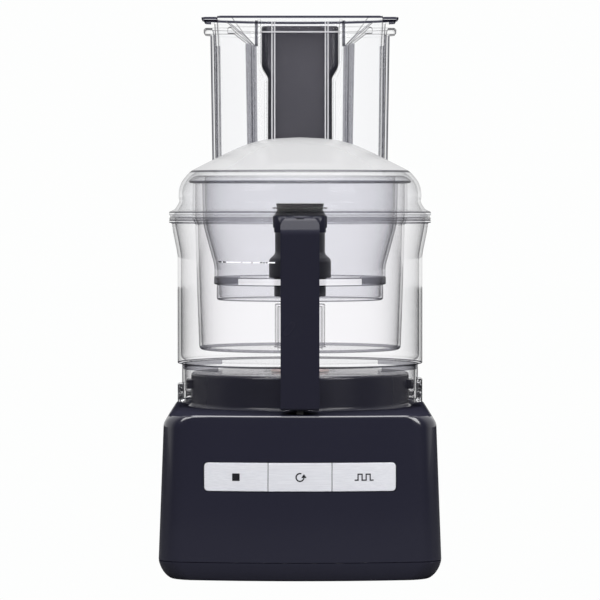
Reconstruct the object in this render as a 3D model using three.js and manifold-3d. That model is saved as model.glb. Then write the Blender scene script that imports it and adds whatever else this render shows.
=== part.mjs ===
// A kitchen food processor: a motor base with three push buttons, three nested clear bowls, a small blade,
// and a domed lid with a wide feed tube that holds two nested pushers.
// Millimetres, +Z up, the front faces -Y. The origin is on the bowl axis, at the level the feet stand on.

import * as THREE from 'three';
import { mergeVertices } from 'three/addons/utils/BufferGeometryUtils.js';
import Module from 'manifold-3d';

const wasm = await Module();
wasm.setup();

// ---------------------------------------------------------------- driving dimensions

const GAP = 0.3; // left between parts that rest on each other
const BOWL_SIDES = 32; // facets round a bowl
const SMALL_SIDES = 12; // facets round a small turned part
const DEGREE = Math.PI / 180;

const BASE = {
  halfWidth: 105.7, // at the seam, narrowing by taper up to the top
  front: 133,
  back: 131.5,
  taper: { side: 4, front: 4, back: 2 },
  corner: 22,
  bow: 400, // radius of the front face in plan
  seam: 14.3, // height where the housing meets the tray
  top: 123.5,
  shoulder: 10, // rounding of the top edge at the sides
  brow: 2.5, // rounding of the top edge at the front and back
  wall: 2.6,
};
const TRAY = {
  bottom: 0.6, floor: 4.5, top: 14, wall: 3,
  frontTuck: 0.35, // the front draws in by this share of what the sides and the back do
};
const FOOT = { radius: 9, height: 2.9, x: 75, y: 105 };
const SCREW = { x: 88, y: 88, head: 3.6, shank: 1.9, bottom: 1.8, neck: 3.4, top: 22, pillar: 5 };

const DRUM = {
  radius: 84.2, root: 115, top: 150, edge: 2.5, wall: 2.6,
  lugRoot: 83.4, lugRadius: 88.2, lugBottom: 137, lugTop: 144, lugAngle: 8,
};

const PANEL = { halfWidth: 71, bottom: 67.2, top: 88.2, radius: 3, thickness: 3, seam: 0.5, clearance: 0.5 };
const STEM = { halfWidth: 4, halfHeight: 4, end: -117.2 };
const BEZEL = { halfWidth: 74, bottom: 63, top: 92, front: -119.4, back: -117.6 };
const SWITCH = { halfWidth: 7, bottom: 70, top: 85.5, front: -115.2, back: -108.3 };
const BOARD = { halfWidth: 72, bottom: 58, top: 96, front: -108, back: -106.4 };

const SHAFT = {
  radius: 8, tipRadius: 6, bottom: 7, shoulder: 121, top: 262, chamfer: 1.5, flat: 4.6, flatBottom: 244,
};
const STATOR = { outer: 52, inner: 30.6, bottom: 42, top: 92 };
const STATOR_TO_PLATE = 18; // from the stator's faces to the outer faces of the end bells
const WINDING = { outer: 48, inner: 33, height: 11.6 };
const BELL = { outer: 56, plate: 4, skirt: 2.5, depth: 26, bossOuter: 16, bore: 12.5 };
const BEARING = { outer: 12, inner: 8.4, height: 8 };
const FAN = { hub: 13, radius: 38, bottom: 8, top: 18, plate: 2, blades: 6 };
const CAPACITOR = { radius: 16, half: 35, y: 96, z: 40 };
const TIE = { radius: 60, shank: 2.2, hole: 2.6, ear: 7, head: 4, top: 120, post: 6 };

const WALL = 2; // of the clear bowls
const MAIN_BOWL = {
  radius: 94.7, floor: 156.7, straight: 241, flare: 99.3, rim: 101.3, rimBottom: 265.2, top: 269.3,
  wall: 2.5, chimneyInner: 8.5, chimneyOuter: 11.5, chimneyTop: 236,
};
const SKIRT = {
  inner: 89.1, outer: 91.3, bottom: 126.5, catchRadius: 85.2, catchBottom: 130.5, catchTop: 135.5,
  cheekAngle: 9, cheekTops: [145, 141],
};
const MIDI_BOWL = {
  bottom: 167, base: 78, corner: 8, waist: 80.2, waistZ: 232, neck: 81, neckZ: 264, collar: 83, top: 295.6,
  flange: 98.4, flangeBottom: 269.6, flangeTop: 270.8, columnOuter: 19.4, columnTop: 202.5, bore: 12.6,
};
const MINI_BOWL = {
  bottom: 205.5, base: 64.4, ridge: 66.5, ridgeBottom: 217.5, ridgeTop: 223, straight: 66.2, cone: 232,
  mouth: 75, mouthZ: 264, collar: 75.7, rimOuter: 86, rimBottom: 295.9, top: 301.8,
  chimneyInner: 13.3, chimneyOuter: 15.3, chimneyTop: 236,
};
const HUB = {
  bottom: 208.3, bore: 16.2, boreTop: 240, socket: 6.5, socketTop: 264, top: 280.1,
  foot: 20, belt: 24, beltBottom: 222.6, beltTop: 237.4, neck: 19.3, cap: 21.5,
};
const BLADE = { thickness: 1.6, lowerZ: 212, upperZ: 227, rootHalf: 9, root: 18, tip: 59 };

const LID = {
  flange: 101.3, flangeBottom: 271.1, flangeTop: 273.5, lip: 99, lipBottom: 269.7, tab: 108, tabAngle: 3,
};
const HOPPER = {
  halfWidth: 68.4, lobeFront: 22, bay: 40, front: 3, backRadius: 86, wall: 2.3,
  funnelZ: 404.2, rimBottom: 411.9, top: 416.6,
};
const PUSHER = {
  clearance: 1.2, bottom: 309, wall: 2, bendLow: 403, bendHigh: 411, ledge: 421.2, brim: 423.2, top: 425,
};
const WELL = { half: 25.8, wideHalf: 30.8, neckBottom: 378.5, neckTop: 387.4, front: 9.2, back: 42 };
const PLUG = {
  half: 25, wideHalf: 30, neckBottom: 378, neckTop: 387, front: 10, back: 41.2, bottom: 312, top: 417.8,
};

const HANDLE = {
  half: 14.4, front: 130, grip: 16, bottom: 127, top: 271, foot: -91.8, footTop: 151, shoulder: 258,
  collarInner: 101.9, collarOuter: 106, collarBottom: 262, collarAngle: 11,
};
const ROD = {
  half: 2.5, front: -124.5, back: -119.5, bottom: 124.3, arm: 262, elbow: 266, top: 270.8,
  nub: -107, nubDepth: 4,
  rise: 2.7, play: 0.5,
};
const INTERLOCK = {
  x: 0, y: -121.5, radius: 3, bottom: 100.3, top: 124, collar: 4.4, collarBottom: 113, collarTop: 115,
};
const SPRING = { radius: 4.2, wire: 0.45, bottom: 101.2, top: 112.2, turns: 4 };
const GLAND = { x: 65, z: 34, bore: 3.6, stem: 7, flange: 10.5, depth: 8, lip: 1.4 };

// ---------------------------------------------------------------- solids

function solidOf(geometry) {
  const bare = geometry.clone();
  bare.deleteAttribute('normal');
  bare.deleteAttribute('uv');
  const merged = mergeVertices(bare, 1e-3);
  const corners = merged.index.array;
  const triVerts = [];
  for (let i = 0; i < corners.length; i += 3) {
    const [a, b, c] = corners.slice(i, i + 3);
    if (a !== b && b !== c && c !== a) triVerts.push(a, b, c);
  }
  const vertProperties = new Float32Array(merged.attributes.position.array);
  const triangles = new Uint32Array(triVerts);
  return new wasm.Manifold(new wasm.Mesh({ numProp: 3, vertProperties, triVerts: triangles }));
}

function geometryOf(solid) {
  const { vertProperties, triVerts } = solid.getMesh();
  const geometry = new THREE.BufferGeometry();
  geometry.setAttribute('position', new THREE.BufferAttribute(Float32Array.from(vertProperties), 3));
  geometry.setIndex(new THREE.BufferAttribute(Uint32Array.from(triVerts), 1));
  geometry.computeVertexNormals();
  return geometry;
}

function join(...geometries) {
  return geometryOf(geometries.map(solidOf).reduce((all, one) => all.add(one)));
}

function cut(body, ...tools) {
  return geometryOf(tools.map(solidOf).reduce((left, tool) => left.subtract(tool), solidOf(body)));
}

function common(one, other) {
  return geometryOf(solidOf(one).intersect(solidOf(other)));
}

// A turned solid from [radius, height] corners, which close on themselves or start and end on the axis.
function turned(profile, sides = BOWL_SIDES) {
  const points = profile.map(([r, z]) => new THREE.Vector2(r, z));
  if (THREE.ShapeUtils.area(points) < 0) points.reverse();
  if (points[0].x > 0) points.push(points[0].clone());
  return new THREE.LatheGeometry(points, sides).rotateX(Math.PI / 2);
}

function ring(inner, outer, bottom, top, sides = SMALL_SIDES) {
  return turned([[inner, bottom], [outer, bottom], [outer, top], [inner, top]], sides);
}

function disc(radius, bottom, top, sides = SMALL_SIDES) {
  return turned([[0, bottom], [radius, bottom], [radius, top], [0, top]], sides);
}

function block([x0, x1], [y0, y1], [z0, z1]) {
  return new THREE.BoxGeometry(x1 - x0, y1 - y0, z1 - z0)
    .translate((x0 + x1) / 2, (y0 + y1) / 2, (z0 + z1) / 2);
}

function polygon(corners) {
  return new THREE.Shape(corners.map(([x, y]) => new THREE.Vector2(x, y)));
}

function extruded(shape, depth, curveSegments = 5) {
  return new THREE.ExtrudeGeometry(shape, { depth, bevelEnabled: false, curveSegments });
}

// An outline in X and Z, given its depth along Y.
function alongY(shape, from, to) {
  const basis = new THREE.Matrix4()
    .makeBasis(new THREE.Vector3(1, 0, 0), new THREE.Vector3(0, 0, 1), new THREE.Vector3(0, -1, 0))
    .setPosition(0, to, 0);
  return extruded(shape, to - from).applyMatrix4(basis);
}

// An outline in Y and Z, given its depth along X.
function alongX(shape, from, to) {
  const basis = new THREE.Matrix4()
    .makeBasis(new THREE.Vector3(0, 1, 0), new THREE.Vector3(0, 0, 1), new THREE.Vector3(1, 0, 0))
    .setPosition(from, 0, 0);
  return extruded(shape, to - from).applyMatrix4(basis);
}

// Part of a ring, centred on an angle in degrees.
function sector(inner, outer, centre, half, bottom, top) {
  const shape = new THREE.Shape();
  const from = (centre - half) * DEGREE;
  const to = (centre + half) * DEGREE;
  shape.absarc(0, 0, outer, from, to, false);
  shape.absarc(0, 0, inner, to, from, true);
  return extruded(shape, top - bottom).translate(0, 0, bottom);
}

// A skin over outlines of equal count at rising heights, closed at both ends.
function loft(levels) {
  const count = levels[0].outline.length;
  const last = (levels.length - 1) * count;
  const positions = levels.flatMap(({ z, outline }) => outline.flatMap((p) => [p.x, p.y, z]));
  const faces = [];
  for (let start = 0; start < last; start += count) {
    for (let i = 0; i < count; i += 1) {
      const a = start + i;
      const b = start + ((i + 1) % count);
      faces.push(a, b, b + count, a, b + count, a + count);
    }
  }
  for (const [a, b, c] of THREE.ShapeUtils.triangulateShape(levels[0].outline, [])) faces.push(c, b, a);
  for (const face of THREE.ShapeUtils.triangulateShape(levels.at(-1).outline, [])) {
    faces.push(...face.map((i) => i + last));
  }
  const geometry = new THREE.BufferGeometry();
  geometry.setAttribute('position', new THREE.Float32BufferAttribute(positions, 3));
  geometry.setIndex(faces);
  return geometry;
}

function arc(centreX, centreY, radius, from, to, steps) {
  return Array.from({ length: steps + 1 }, (_, i) => {
    const angle = from + ((to - from) * i) / steps;
    return new THREE.Vector2(centreX + radius * Math.cos(angle), centreY + radius * Math.sin(angle));
  });
}

// Corners of a closed outline, each rounded by a curve that starts and ends a given cut away from it.
function rounded(corners, steps = 4) {
  return corners.flatMap(({ point, cut: length = 0 }, i) => {
    if (length === 0) return [point];
    const before = corners.at(i - 1).point.clone().sub(point).setLength(length).add(point);
    const after = corners[(i + 1) % corners.length].point.clone().sub(point).setLength(length).add(point);
    return new THREE.QuadraticBezierCurve(before, point, after).getPoints(steps);
  });
}

function mesh(name, geometry, material) {
  const made = new THREE.Mesh(geometry, material);
  made.name = name;
  return made;
}

// ---------------------------------------------------------------- materials

function finish(color, roughness, metalness = 0, opacity = 1) {
  return new THREE.MeshStandardMaterial({ color, roughness, metalness, opacity, transparent: opacity < 1 });
}

const NAVY_GLOSS = finish('#272731', 0.15);
const NAVY_SATIN = finish('#26262f', 0.4);
const CLEAR = finish('#e6e7ec', 0.05, 0, 0.35);
const SMOKED = finish('#504f55', 0.3);
const BRUSHED_STEEL = finish('#dcdee4', 0.35, 0.9);
const STEEL = finish('#b9bbc0', 0.3, 1);
const LAMINATION = finish('#8a8c90', 0.6, 0.8);
const COPPER = finish('#b06a3a', 0.4, 0.9);
const ALUMINIUM = finish('#b4b6ba', 0.5, 0.9);
const RUBBER = finish('#1b1b1d', 0.9);
const SEAL = finish('#8c7468', 0.7);
const BOARD_GREEN = finish('#2f5b3c', 0.6);
const DARK_PLASTIC = finish('#2a2a2c', 0.6);
const CAN = finish('#d8d8d4', 0.4);

// ---------------------------------------------------------------- base

// The base's outline in plan: a bowed front, straight sides and back, and round corners.
function basePlan(halfWidth, front, back) {
  const inner = halfWidth - BASE.corner;
  const lean = Math.asin(inner / BASE.bow);
  const start = inner + BASE.corner * Math.sin(lean);
  const bowed = (x) => -front + (x * x) / (2 * BASE.bow);
  const frontCentre = bowed(start) + BASE.corner * Math.cos(lean);
  const frontSteps = [-2, -1, 0, 1, 2].map((i) => (start * i) / 3);
  const quarter = Math.PI / 2;
  const r = BASE.corner;
  return [
    ...arc(-inner, frontCentre, r, 2 * quarter, 3 * quarter - lean, 3),
    ...frontSteps.map((x) => new THREE.Vector2(x, bowed(x))),
    ...arc(inner, frontCentre, r, -quarter + lean, 0, 3),
    ...arc(inner, back - r, r, 0, quarter, 3),
    ...arc(-inner, back - r, r, quarter, 2 * quarter, 3),
  ];
}

function housingLevel(z, inset, shoulder = 0, brow = 0) {
  const rise = (z - BASE.seam) / (BASE.top - BASE.seam);
  const halfWidth = BASE.halfWidth - BASE.taper.side * rise - inset - shoulder;
  const front = BASE.front - BASE.taper.front * rise - inset - brow;
  const back = BASE.back - BASE.taper.back * rise - inset - brow;
  return { z, outline: basePlan(halfWidth, front, back) };
}

// The housing's outer skin: its sides curve over by the shoulder while the front turns on the tighter brow.
function housingSkin() {
  const levels = [housingLevel(BASE.seam, 0)];
  for (const angle of [0, 35, 65, 90]) {
    const z = BASE.top - BASE.shoulder * (1 - Math.sin(angle * DEGREE));
    const climb = Math.max(0, z - (BASE.top - BASE.brow));
    const brow = BASE.brow - Math.sqrt(Math.max(0, BASE.brow ** 2 - climb ** 2));
    levels.push(housingLevel(z, 0, BASE.shoulder * (1 - Math.cos(angle * DEGREE)), brow));
  }
  return loft(levels);
}

function housingCavity() {
  return loft([
    housingLevel(BASE.seam - 1, BASE.wall),
    housingLevel(BASE.top - BASE.shoulder, BASE.wall),
    housingLevel(BASE.top - 5, BASE.wall, 2),
    housingLevel(BASE.top - BASE.wall, BASE.wall, 6),
  ]);
}

function fourCorners(x, y) {
  return [[-x, -y], [x, -y], [x, y], [-x, y]];
}

function tiePlaces() {
  const side = TIE.radius * Math.SQRT1_2;
  return fourCorners(side, side);
}

function bayonetLugs(inner, outer, bottom, top) {
  return [0, 180].map((angle) => sector(inner, outer, angle, DRUM.lugAngle, bottom, top));
}

function panelOutline(clearance) {
  const x = PANEL.halfWidth + clearance;
  const [low, high] = [PANEL.bottom - clearance, PANEL.top + clearance];
  const corner = PANEL.radius + clearance;
  const corners = [[-x, low], [x, low], [x, high], [-x, high]]
    .map((p) => ({ point: new THREE.Vector2(...p), cut: corner }));
  return new THREE.Shape(rounded(corners, 3));
}

function housing() {
  const { radius, root, top, edge, wall } = DRUM;
  const drum = turned([
    [0, root], [radius, root], [radius, top - edge],
    [radius - 0.9, top - 0.7], [radius - edge, top], [0, top],
  ]);
  const shell = cut(
    join(housingSkin(), drum),
    housingCavity(),
    disc(radius - wall, root - 5, top - wall, BOWL_SIDES),
  );
  const postBottom = STATOR.top + STATOR_TO_PLATE + 1;
  const posts = tiePlaces().map(([x, y]) => disc(TIE.post, postBottom, top - wall + 1, 8).translate(x, y, 0));
  const pillars = fourCorners(SCREW.x, SCREW.y)
    .map(([x, y]) => disc(SCREW.pillar, TRAY.floor + GAP, BASE.top - 1, 8).translate(x, y, 0));
  const lugs = bayonetLugs(DRUM.lugRoot, DRUM.lugRadius, DRUM.lugBottom, DRUM.lugTop);
  const threads = fourCorners(SCREW.x, SCREW.y)
    .map(([x, y]) => disc(SCREW.shank + GAP, 0, SCREW.top + 2, 8).translate(x, y, 0));
  return cut(
    join(shell, ...posts, ...pillars, ...lugs),
    ...tiePlaces().map(([x, y]) => disc(TIE.hole, root - 10, TIE.top + 2, 8).translate(x, y, 0)),
    ...threads,
    alongY(panelOutline(PANEL.clearance), -BASE.front - 7, -BASE.front + 12),
    disc(SHAFT.radius + 1.5, top - 10, top + 5),
    disc(INTERLOCK.radius + 0.6, root, top - 20, 12).translate(INTERLOCK.x, INTERLOCK.y, 0),
    disc(GLAND.stem + GAP, 0, 20, 16).rotateX(-Math.PI / 2).translate(GLAND.x, BASE.back - 11.5, GLAND.z),
  );
}

function trayLevel(z, tuck, wall = 0) {
  const inset = tuck + wall;
  const front = BASE.front - TRAY.frontTuck * tuck - wall;
  return { z, outline: basePlan(BASE.halfWidth - inset, front, BASE.back - inset) };
}

function basePlate() {
  const tucks = [[TRAY.bottom, 9], [4, 5], [8, 1.8], [TRAY.top, 0.1]];
  const skin = loft(tucks.map(([z, tuck]) => trayLevel(z, tuck)));
  const hollowTucks = [[TRAY.floor, 5], [8, 1.8], [TRAY.top + 1, 0.1]];
  const hollow = loft(hollowTucks.map(([z, tuck]) => trayLevel(z, tuck, TRAY.wall)));
  const slots = [-50, -30, -10, 10, 30, 50].map((x) => block([x - 3, x + 3], [-45, 45], [0, 6]));
  const recesses = fourCorners(FOOT.x, FOOT.y)
    .map(([x, y]) => disc(FOOT.radius + GAP, 0, FOOT.height + GAP).translate(x, y, 0));
  const screwHoles = fourCorners(SCREW.x, SCREW.y).flatMap(([x, y]) => [
    disc(SCREW.head + GAP, 0, SCREW.neck + GAP, 8).translate(x, y, 0),
    disc(SCREW.shank + GAP, 0, 10, 8).translate(x, y, 0),
  ]);
  return cut(skin, hollow, ...slots, ...recesses, ...screwHoles);
}

function feet() {
  const names = ['foot_front_left', 'foot_front_right', 'foot_back_right', 'foot_back_left'];
  return fourCorners(FOOT.x, FOOT.y).map(([x, y], i) => {
    const made = mesh(names[i], disc(FOOT.radius, 0, FOOT.height), RUBBER);
    made.position.set(x, y, 0);
    return made;
  });
}

function baseScrews() {
  const profile = [
    [0, SCREW.bottom], [SCREW.head, SCREW.bottom], [SCREW.head, SCREW.neck],
    [SCREW.shank, SCREW.neck], [SCREW.shank, SCREW.top], [0, SCREW.top],
  ];
  return fourCorners(SCREW.x, SCREW.y).map(([x, y], i) => {
    const made = mesh(`base_screw_${i + 1}`, turned(profile, 8), STEEL);
    made.position.set(x, y, 0);
    return made;
  });
}

function cordGland() {
  const { bore, stem, flange, depth, lip } = GLAND;
  const profile = [[bore, -depth], [stem, -depth], [stem, 0], [flange, 0], [flange - 1, lip], [bore, lip]];
  return turned(profile, 16).rotateX(-Math.PI / 2).translate(GLAND.x, BASE.back + 0.1, GLAND.z);
}

// ---------------------------------------------------------------- buttons and controls

const PANEL_MIDDLE = (PANEL.bottom + PANEL.top) / 2;
const PANEL_FRONT = BASE.front - (BASE.taper.front * (PANEL_MIDDLE - BASE.seam)) / (BASE.top - BASE.seam);

function panelArc(from, to, depth) {
  const steps = 6;
  return Array.from({ length: steps + 1 }, (_, i) => {
    const x = from + ((to - from) * i) / steps;
    return [x, -PANEL_FRONT + depth + (x * x) / (2 * BASE.bow)];
  });
}

// A key that follows the bow of the front, with a stem behind it that reaches its switch.
function button(index) {
  const width = (2 * PANEL.halfWidth) / 3;
  const left = -PANEL.halfWidth + index * width + (index > 0 ? PANEL.seam / 2 : 0);
  const right = -PANEL.halfWidth + (index + 1) * width - (index < 2 ? PANEL.seam / 2 : 0);
  const outline = [...panelArc(left, right, 0), ...panelArc(right, left, PANEL.thickness)];
  const key = extruded(polygon(outline), PANEL.top - PANEL.bottom).translate(0, 0, PANEL.bottom);
  const cap = common(key, alongY(panelOutline(0), -BASE.front - 7, -BASE.front + 20));
  const middle = (left + right) / 2;
  const stem = block(
    [middle - STEM.halfWidth, middle + STEM.halfWidth],
    [-PANEL_FRONT + PANEL.thickness / 2 + (middle * middle) / (2 * BASE.bow), STEM.end],
    [PANEL_MIDDLE - STEM.halfHeight, PANEL_MIDDLE + STEM.halfHeight],
  );
  return join(cap, stem);
}

function buttonCentres() {
  const width = (2 * PANEL.halfWidth) / 3;
  return [-width, 0, width];
}

function buttonFrame() {
  const play = 0.6;
  return cut(
    block([-BEZEL.halfWidth, BEZEL.halfWidth], [BEZEL.front, BEZEL.back], [BEZEL.bottom, BEZEL.top]),
    ...buttonCentres().map((x) => block(
      [x - STEM.halfWidth - play, x + STEM.halfWidth + play],
      [BEZEL.front - 1, BEZEL.back + 1],
      [PANEL_MIDDLE - STEM.halfHeight - play, PANEL_MIDDLE + STEM.halfHeight + play],
    )),
  );
}

function controls() {
  const names = ['stop_switch', 'auto_switch', 'pulse_switch'];
  const switches = buttonCentres().map((x, i) => mesh(names[i], block(
    [x - SWITCH.halfWidth, x + SWITCH.halfWidth],
    [SWITCH.front, SWITCH.back],
    [SWITCH.bottom, SWITCH.top],
  ), DARK_PLASTIC));
  const { halfWidth, front, back, bottom, top } = BOARD;
  const board = block([-halfWidth, halfWidth], [front, back], [bottom, top]);
  return [
    mesh('stop_button', button(0), BRUSHED_STEEL),
    mesh('auto_button', button(1), BRUSHED_STEEL),
    mesh('pulse_button', button(2), BRUSHED_STEEL),
    mesh('button_frame', buttonFrame(), DARK_PLASTIC),
    ...switches,
    mesh('control_board', board, BOARD_GREEN),
  ];
}

// ---------------------------------------------------------------- motor

// An end bell for the stator, facing up or down: a plate with a bearing boss, a skirt and four bolt ears.
function endBell(plateZ, direction) {
  const z = (offset) => plateZ + direction * offset;
  const { bore, outer, skirt, depth, plate, bossOuter } = BELL;
  const inner = outer - skirt;
  const profile = [
    [bore, z(0)], [outer, z(0)], [outer, z(-depth)], [inner, z(-depth)], [inner, z(-plate)],
    [bossOuter, z(-plate)], [bossOuter, z(-BEARING.height)], [bore, z(-BEARING.height)],
  ];
  const [low, high] = [z(0), z(-plate)].sort((a, b) => a - b);
  const ears = tiePlaces().map(([x, y]) => disc(TIE.ear, low, high, 8).translate(x, y, 0));
  const holes = tiePlaces().map(([x, y]) => disc(TIE.hole, low - 1, high + 1, 8).translate(x, y, 0));
  return cut(join(turned(profile, 20), ...ears), ...holes);
}

function coolingFan() {
  const { hub, radius, bottom, top, plate, blades } = FAN;
  const vane = () => block([hub - 1, radius - 1], [-1, 1], [bottom + plate - 0.5, top]);
  const vanes = Array.from({ length: blades }, (_, i) => vane().rotateZ((i * 2 * Math.PI) / blades));
  const disk = ring(hub - 1, radius, bottom, bottom + plate);
  return join(ring(SHAFT.radius + GAP, hub, bottom, top), disk, ...vanes);
}

function driveShaft() {
  const { radius, tipRadius, bottom, shoulder, top, chamfer, flat, flatBottom } = SHAFT;
  const profile = [
    [0, bottom], [radius, bottom], [radius, shoulder], [tipRadius, shoulder], [tipRadius, top - chamfer],
    [tipRadius - chamfer, top], [0, top],
  ];
  const across = [-radius, radius];
  const flats = [[flat, radius], [-radius, -flat]].map((y) => block(across, y, [flatBottom, top + 1]));
  return cut(turned(profile, SMALL_SIDES), ...flats);
}

function motor() {
  const lowerPlate = STATOR.bottom - STATOR_TO_PLATE;
  const upperPlate = STATOR.top + STATOR_TO_PLATE;
  const bolt = [
    [0, lowerPlate - 4], [TIE.head, lowerPlate - 4], [TIE.head, lowerPlate - GAP],
    [TIE.shank, lowerPlate - GAP], [TIE.shank, TIE.top], [0, TIE.top],
  ];
  const bolts = tiePlaces().map(([x, y], i) => {
    const made = mesh(`motor_bolt_${i + 1}`, turned(bolt, 8), STEEL);
    made.position.set(x, y, 0);
    return made;
  });
  const { radius, half, y: rear, z: height } = CAPACITOR;
  const capacitor = disc(radius, -half, half).rotateY(Math.PI / 2).translate(0, rear, height);
  const upperCoil = ring(WINDING.inner, WINDING.outer, STATOR.top + GAP, STATOR.top + WINDING.height);
  const lowerCoil = ring(WINDING.inner, WINDING.outer, STATOR.bottom - WINDING.height, STATOR.bottom - GAP);
  const bearing = (bottom) => ring(BEARING.inner, BEARING.outer, bottom, bottom + BEARING.height);
  return [
    mesh('motor_stator', ring(STATOR.inner, STATOR.outer, STATOR.bottom, STATOR.top, 24), LAMINATION),
    mesh('upper_winding', upperCoil, COPPER),
    mesh('lower_winding', lowerCoil, COPPER),
    mesh('rotor', ring(SHAFT.radius + GAP, STATOR.inner - 0.6, STATOR.bottom, STATOR.top), LAMINATION),
    mesh('upper_end_bell', endBell(upperPlate, 1), ALUMINIUM),
    mesh('lower_end_bell', endBell(lowerPlate, -1), ALUMINIUM),
    mesh('upper_bearing', bearing(upperPlate - BEARING.height), STEEL),
    mesh('lower_bearing', bearing(lowerPlate), STEEL),
    mesh('drive_shaft', driveShaft(), STEEL),
    mesh('cooling_fan', coolingFan(), DARK_PLASTIC),
    mesh('run_capacitor', capacitor, CAN),
    ...bolts,
  ];
}

// ---------------------------------------------------------------- safety interlock

function interlockPlunger() {
  const { radius, bottom, top, collar, collarBottom, collarTop } = INTERLOCK;
  return turned([
    [0, bottom], [radius, bottom], [radius, collarBottom], [collar, collarBottom],
    [collar, collarTop], [radius, collarTop], [radius, top - 1], [radius - 1, top], [0, top],
  ], 14);
}

class Helix extends THREE.Curve {
  constructor(radius, bottom, top, turns) {
    super();
    Object.assign(this, { radius, bottom, top, turns });
  }

  getPoint(t, target = new THREE.Vector3()) {
    const angle = t * this.turns * 2 * Math.PI;
    const z = this.bottom + (this.top - this.bottom) * t;
    return target.set(this.radius * Math.cos(angle), this.radius * Math.sin(angle), z);
  }
}

function interlockSpring() {
  const { radius, wire, bottom, top, turns } = SPRING;
  const section = new THREE.Shape().absarc(0, 0, wire, 0, 2 * Math.PI, false);
  const coil = new Helix(radius, bottom, top, turns);
  return new THREE.ExtrudeGeometry(section, { steps: 8 * turns, extrudePath: coil, curveSegments: 2 });
}

function interlock() {
  const { x, y, bottom } = INTERLOCK;
  const switchBody = block([-9, 9], [y - 4.5, y + 7.5], [bottom - 7.3, bottom - GAP]);
  const group = [
    mesh('interlock_plunger', interlockPlunger(), DARK_PLASTIC),
    mesh('interlock_spring', interlockSpring(), STEEL),
  ];
  for (const piece of group) piece.position.set(x, y, 0);
  return [...group, mesh('interlock_switch', switchBody, DARK_PLASTIC)];
}

// The L-shaped rod inside the handle: the lid holds its nub down, and its foot holds the plunger down.
function interlockRod() {
  const { half, front, back, bottom, arm, elbow, top, nub, nubDepth } = ROD;
  return join(
    block([-half, half], [front, back], [bottom, elbow]),
    block([-half, half], [front, nub + nubDepth], [arm, elbow]),
    block([-half, half], [nub, nub + nubDepth], [arm, top]),
  );
}

// ---------------------------------------------------------------- bowls

function mainBowl() {
  const b = MAIN_BOWL;
  return turned([
    [b.chimneyInner, b.floor], [b.radius, b.floor], [b.radius, b.straight], [b.flare, b.rimBottom - 0.2],
    [b.rim, b.rimBottom], [b.rim, b.top], [b.flare - b.wall, b.top], [b.flare - b.wall, b.rimBottom],
    [b.radius - b.wall, b.straight], [b.radius - b.wall, b.floor + 5], [b.radius - 5, b.floor + b.wall],
    [b.chimneyOuter + 2, b.floor + b.wall], [b.chimneyOuter, b.floor + 6],
    [b.chimneyOuter - 0.6, b.chimneyTop], [b.chimneyInner, b.chimneyTop],
  ]);
}

// The ring under the main bowl that reaches down round the drum, with the catches that hook under its lugs.
function bowlSkirt() {
  const { inner, outer, bottom, catchRadius, catchBottom, catchTop, cheekAngle, cheekTops } = SKIRT;
  const wall = ring(inner, outer, bottom, MAIN_BOWL.floor - GAP, BOWL_SIDES);
  const catches = bayonetLugs(catchRadius, inner + 1, catchBottom, catchTop);
  const cheeks = cheekTops.map((top, i) => (
    sector(inner + 1, MAIN_BOWL.radius, 180 * i, cheekAngle, bottom + 0.5, top)
  ));
  return join(wall, ...catches, ...cheeks);
}

function midiBowl() {
  const b = MIDI_BOWL;
  const columnInner = b.columnOuter - WALL;
  return turned([
    [columnInner, b.bottom], [b.base - b.corner, b.bottom], [b.base - 2.3, b.bottom + 2.3],
    [b.base, b.bottom + b.corner], [b.waist, b.waistZ], [b.neck, b.neckZ], [b.collar, b.neckZ + 4],
    [b.flange, b.flangeBottom], [b.flange, b.flangeTop], [b.collar, b.flangeTop],
    [b.collar, b.top], [b.collar - WALL, b.top],
    [b.collar - WALL, b.neckZ + 4], [b.neck - WALL, b.neckZ], [b.waist - WALL, b.waistZ],
    [b.base - WALL, b.bottom + b.corner], [b.base - 3.8, b.bottom + 3.8],
    [b.base - b.corner, b.bottom + WALL], [b.columnOuter, b.bottom + WALL],
    [b.columnOuter, b.columnTop], [b.bore, b.columnTop],
    [b.bore, b.columnTop - WALL], [columnInner, b.columnTop - WALL],
  ]);
}

function miniBowl() {
  const b = MINI_BOWL;
  return turned([
    [b.chimneyInner, b.bottom], [b.base - 1.5, b.bottom], [b.base, b.bottom + 1.5], [b.base, b.ridgeBottom],
    [b.ridge, b.ridgeBottom + 0.5], [b.ridge, b.ridgeTop], [b.straight, b.cone],
    [b.mouth, b.mouthZ], [b.collar, b.rimBottom], [b.rimOuter, b.rimBottom],
    [b.rimOuter - 3, b.top - 1.5], [b.collar + 3, b.top], [b.collar - WALL, b.top - 1],
    [b.mouth - WALL, b.mouthZ], [b.straight - WALL, b.cone], [b.straight - WALL, b.ridgeTop],
    [b.base - WALL, b.ridgeBottom - 2], [b.base - WALL, b.bottom + 3], [b.base - 3, b.bottom + WALL],
    [b.chimneyOuter, b.bottom + WALL], [b.chimneyOuter, b.chimneyTop], [b.chimneyInner, b.chimneyTop],
  ]);
}

// ---------------------------------------------------------------- blade

function bladeSlot(z, side) {
  const [near, far] = [BLADE.root - 0.4, 30];
  const span = side > 0 ? [near, far] : [-far, -near];
  return block([-BLADE.rootHalf - GAP, BLADE.rootHalf + GAP], span, [z - GAP, z + BLADE.thickness + GAP]);
}

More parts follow.
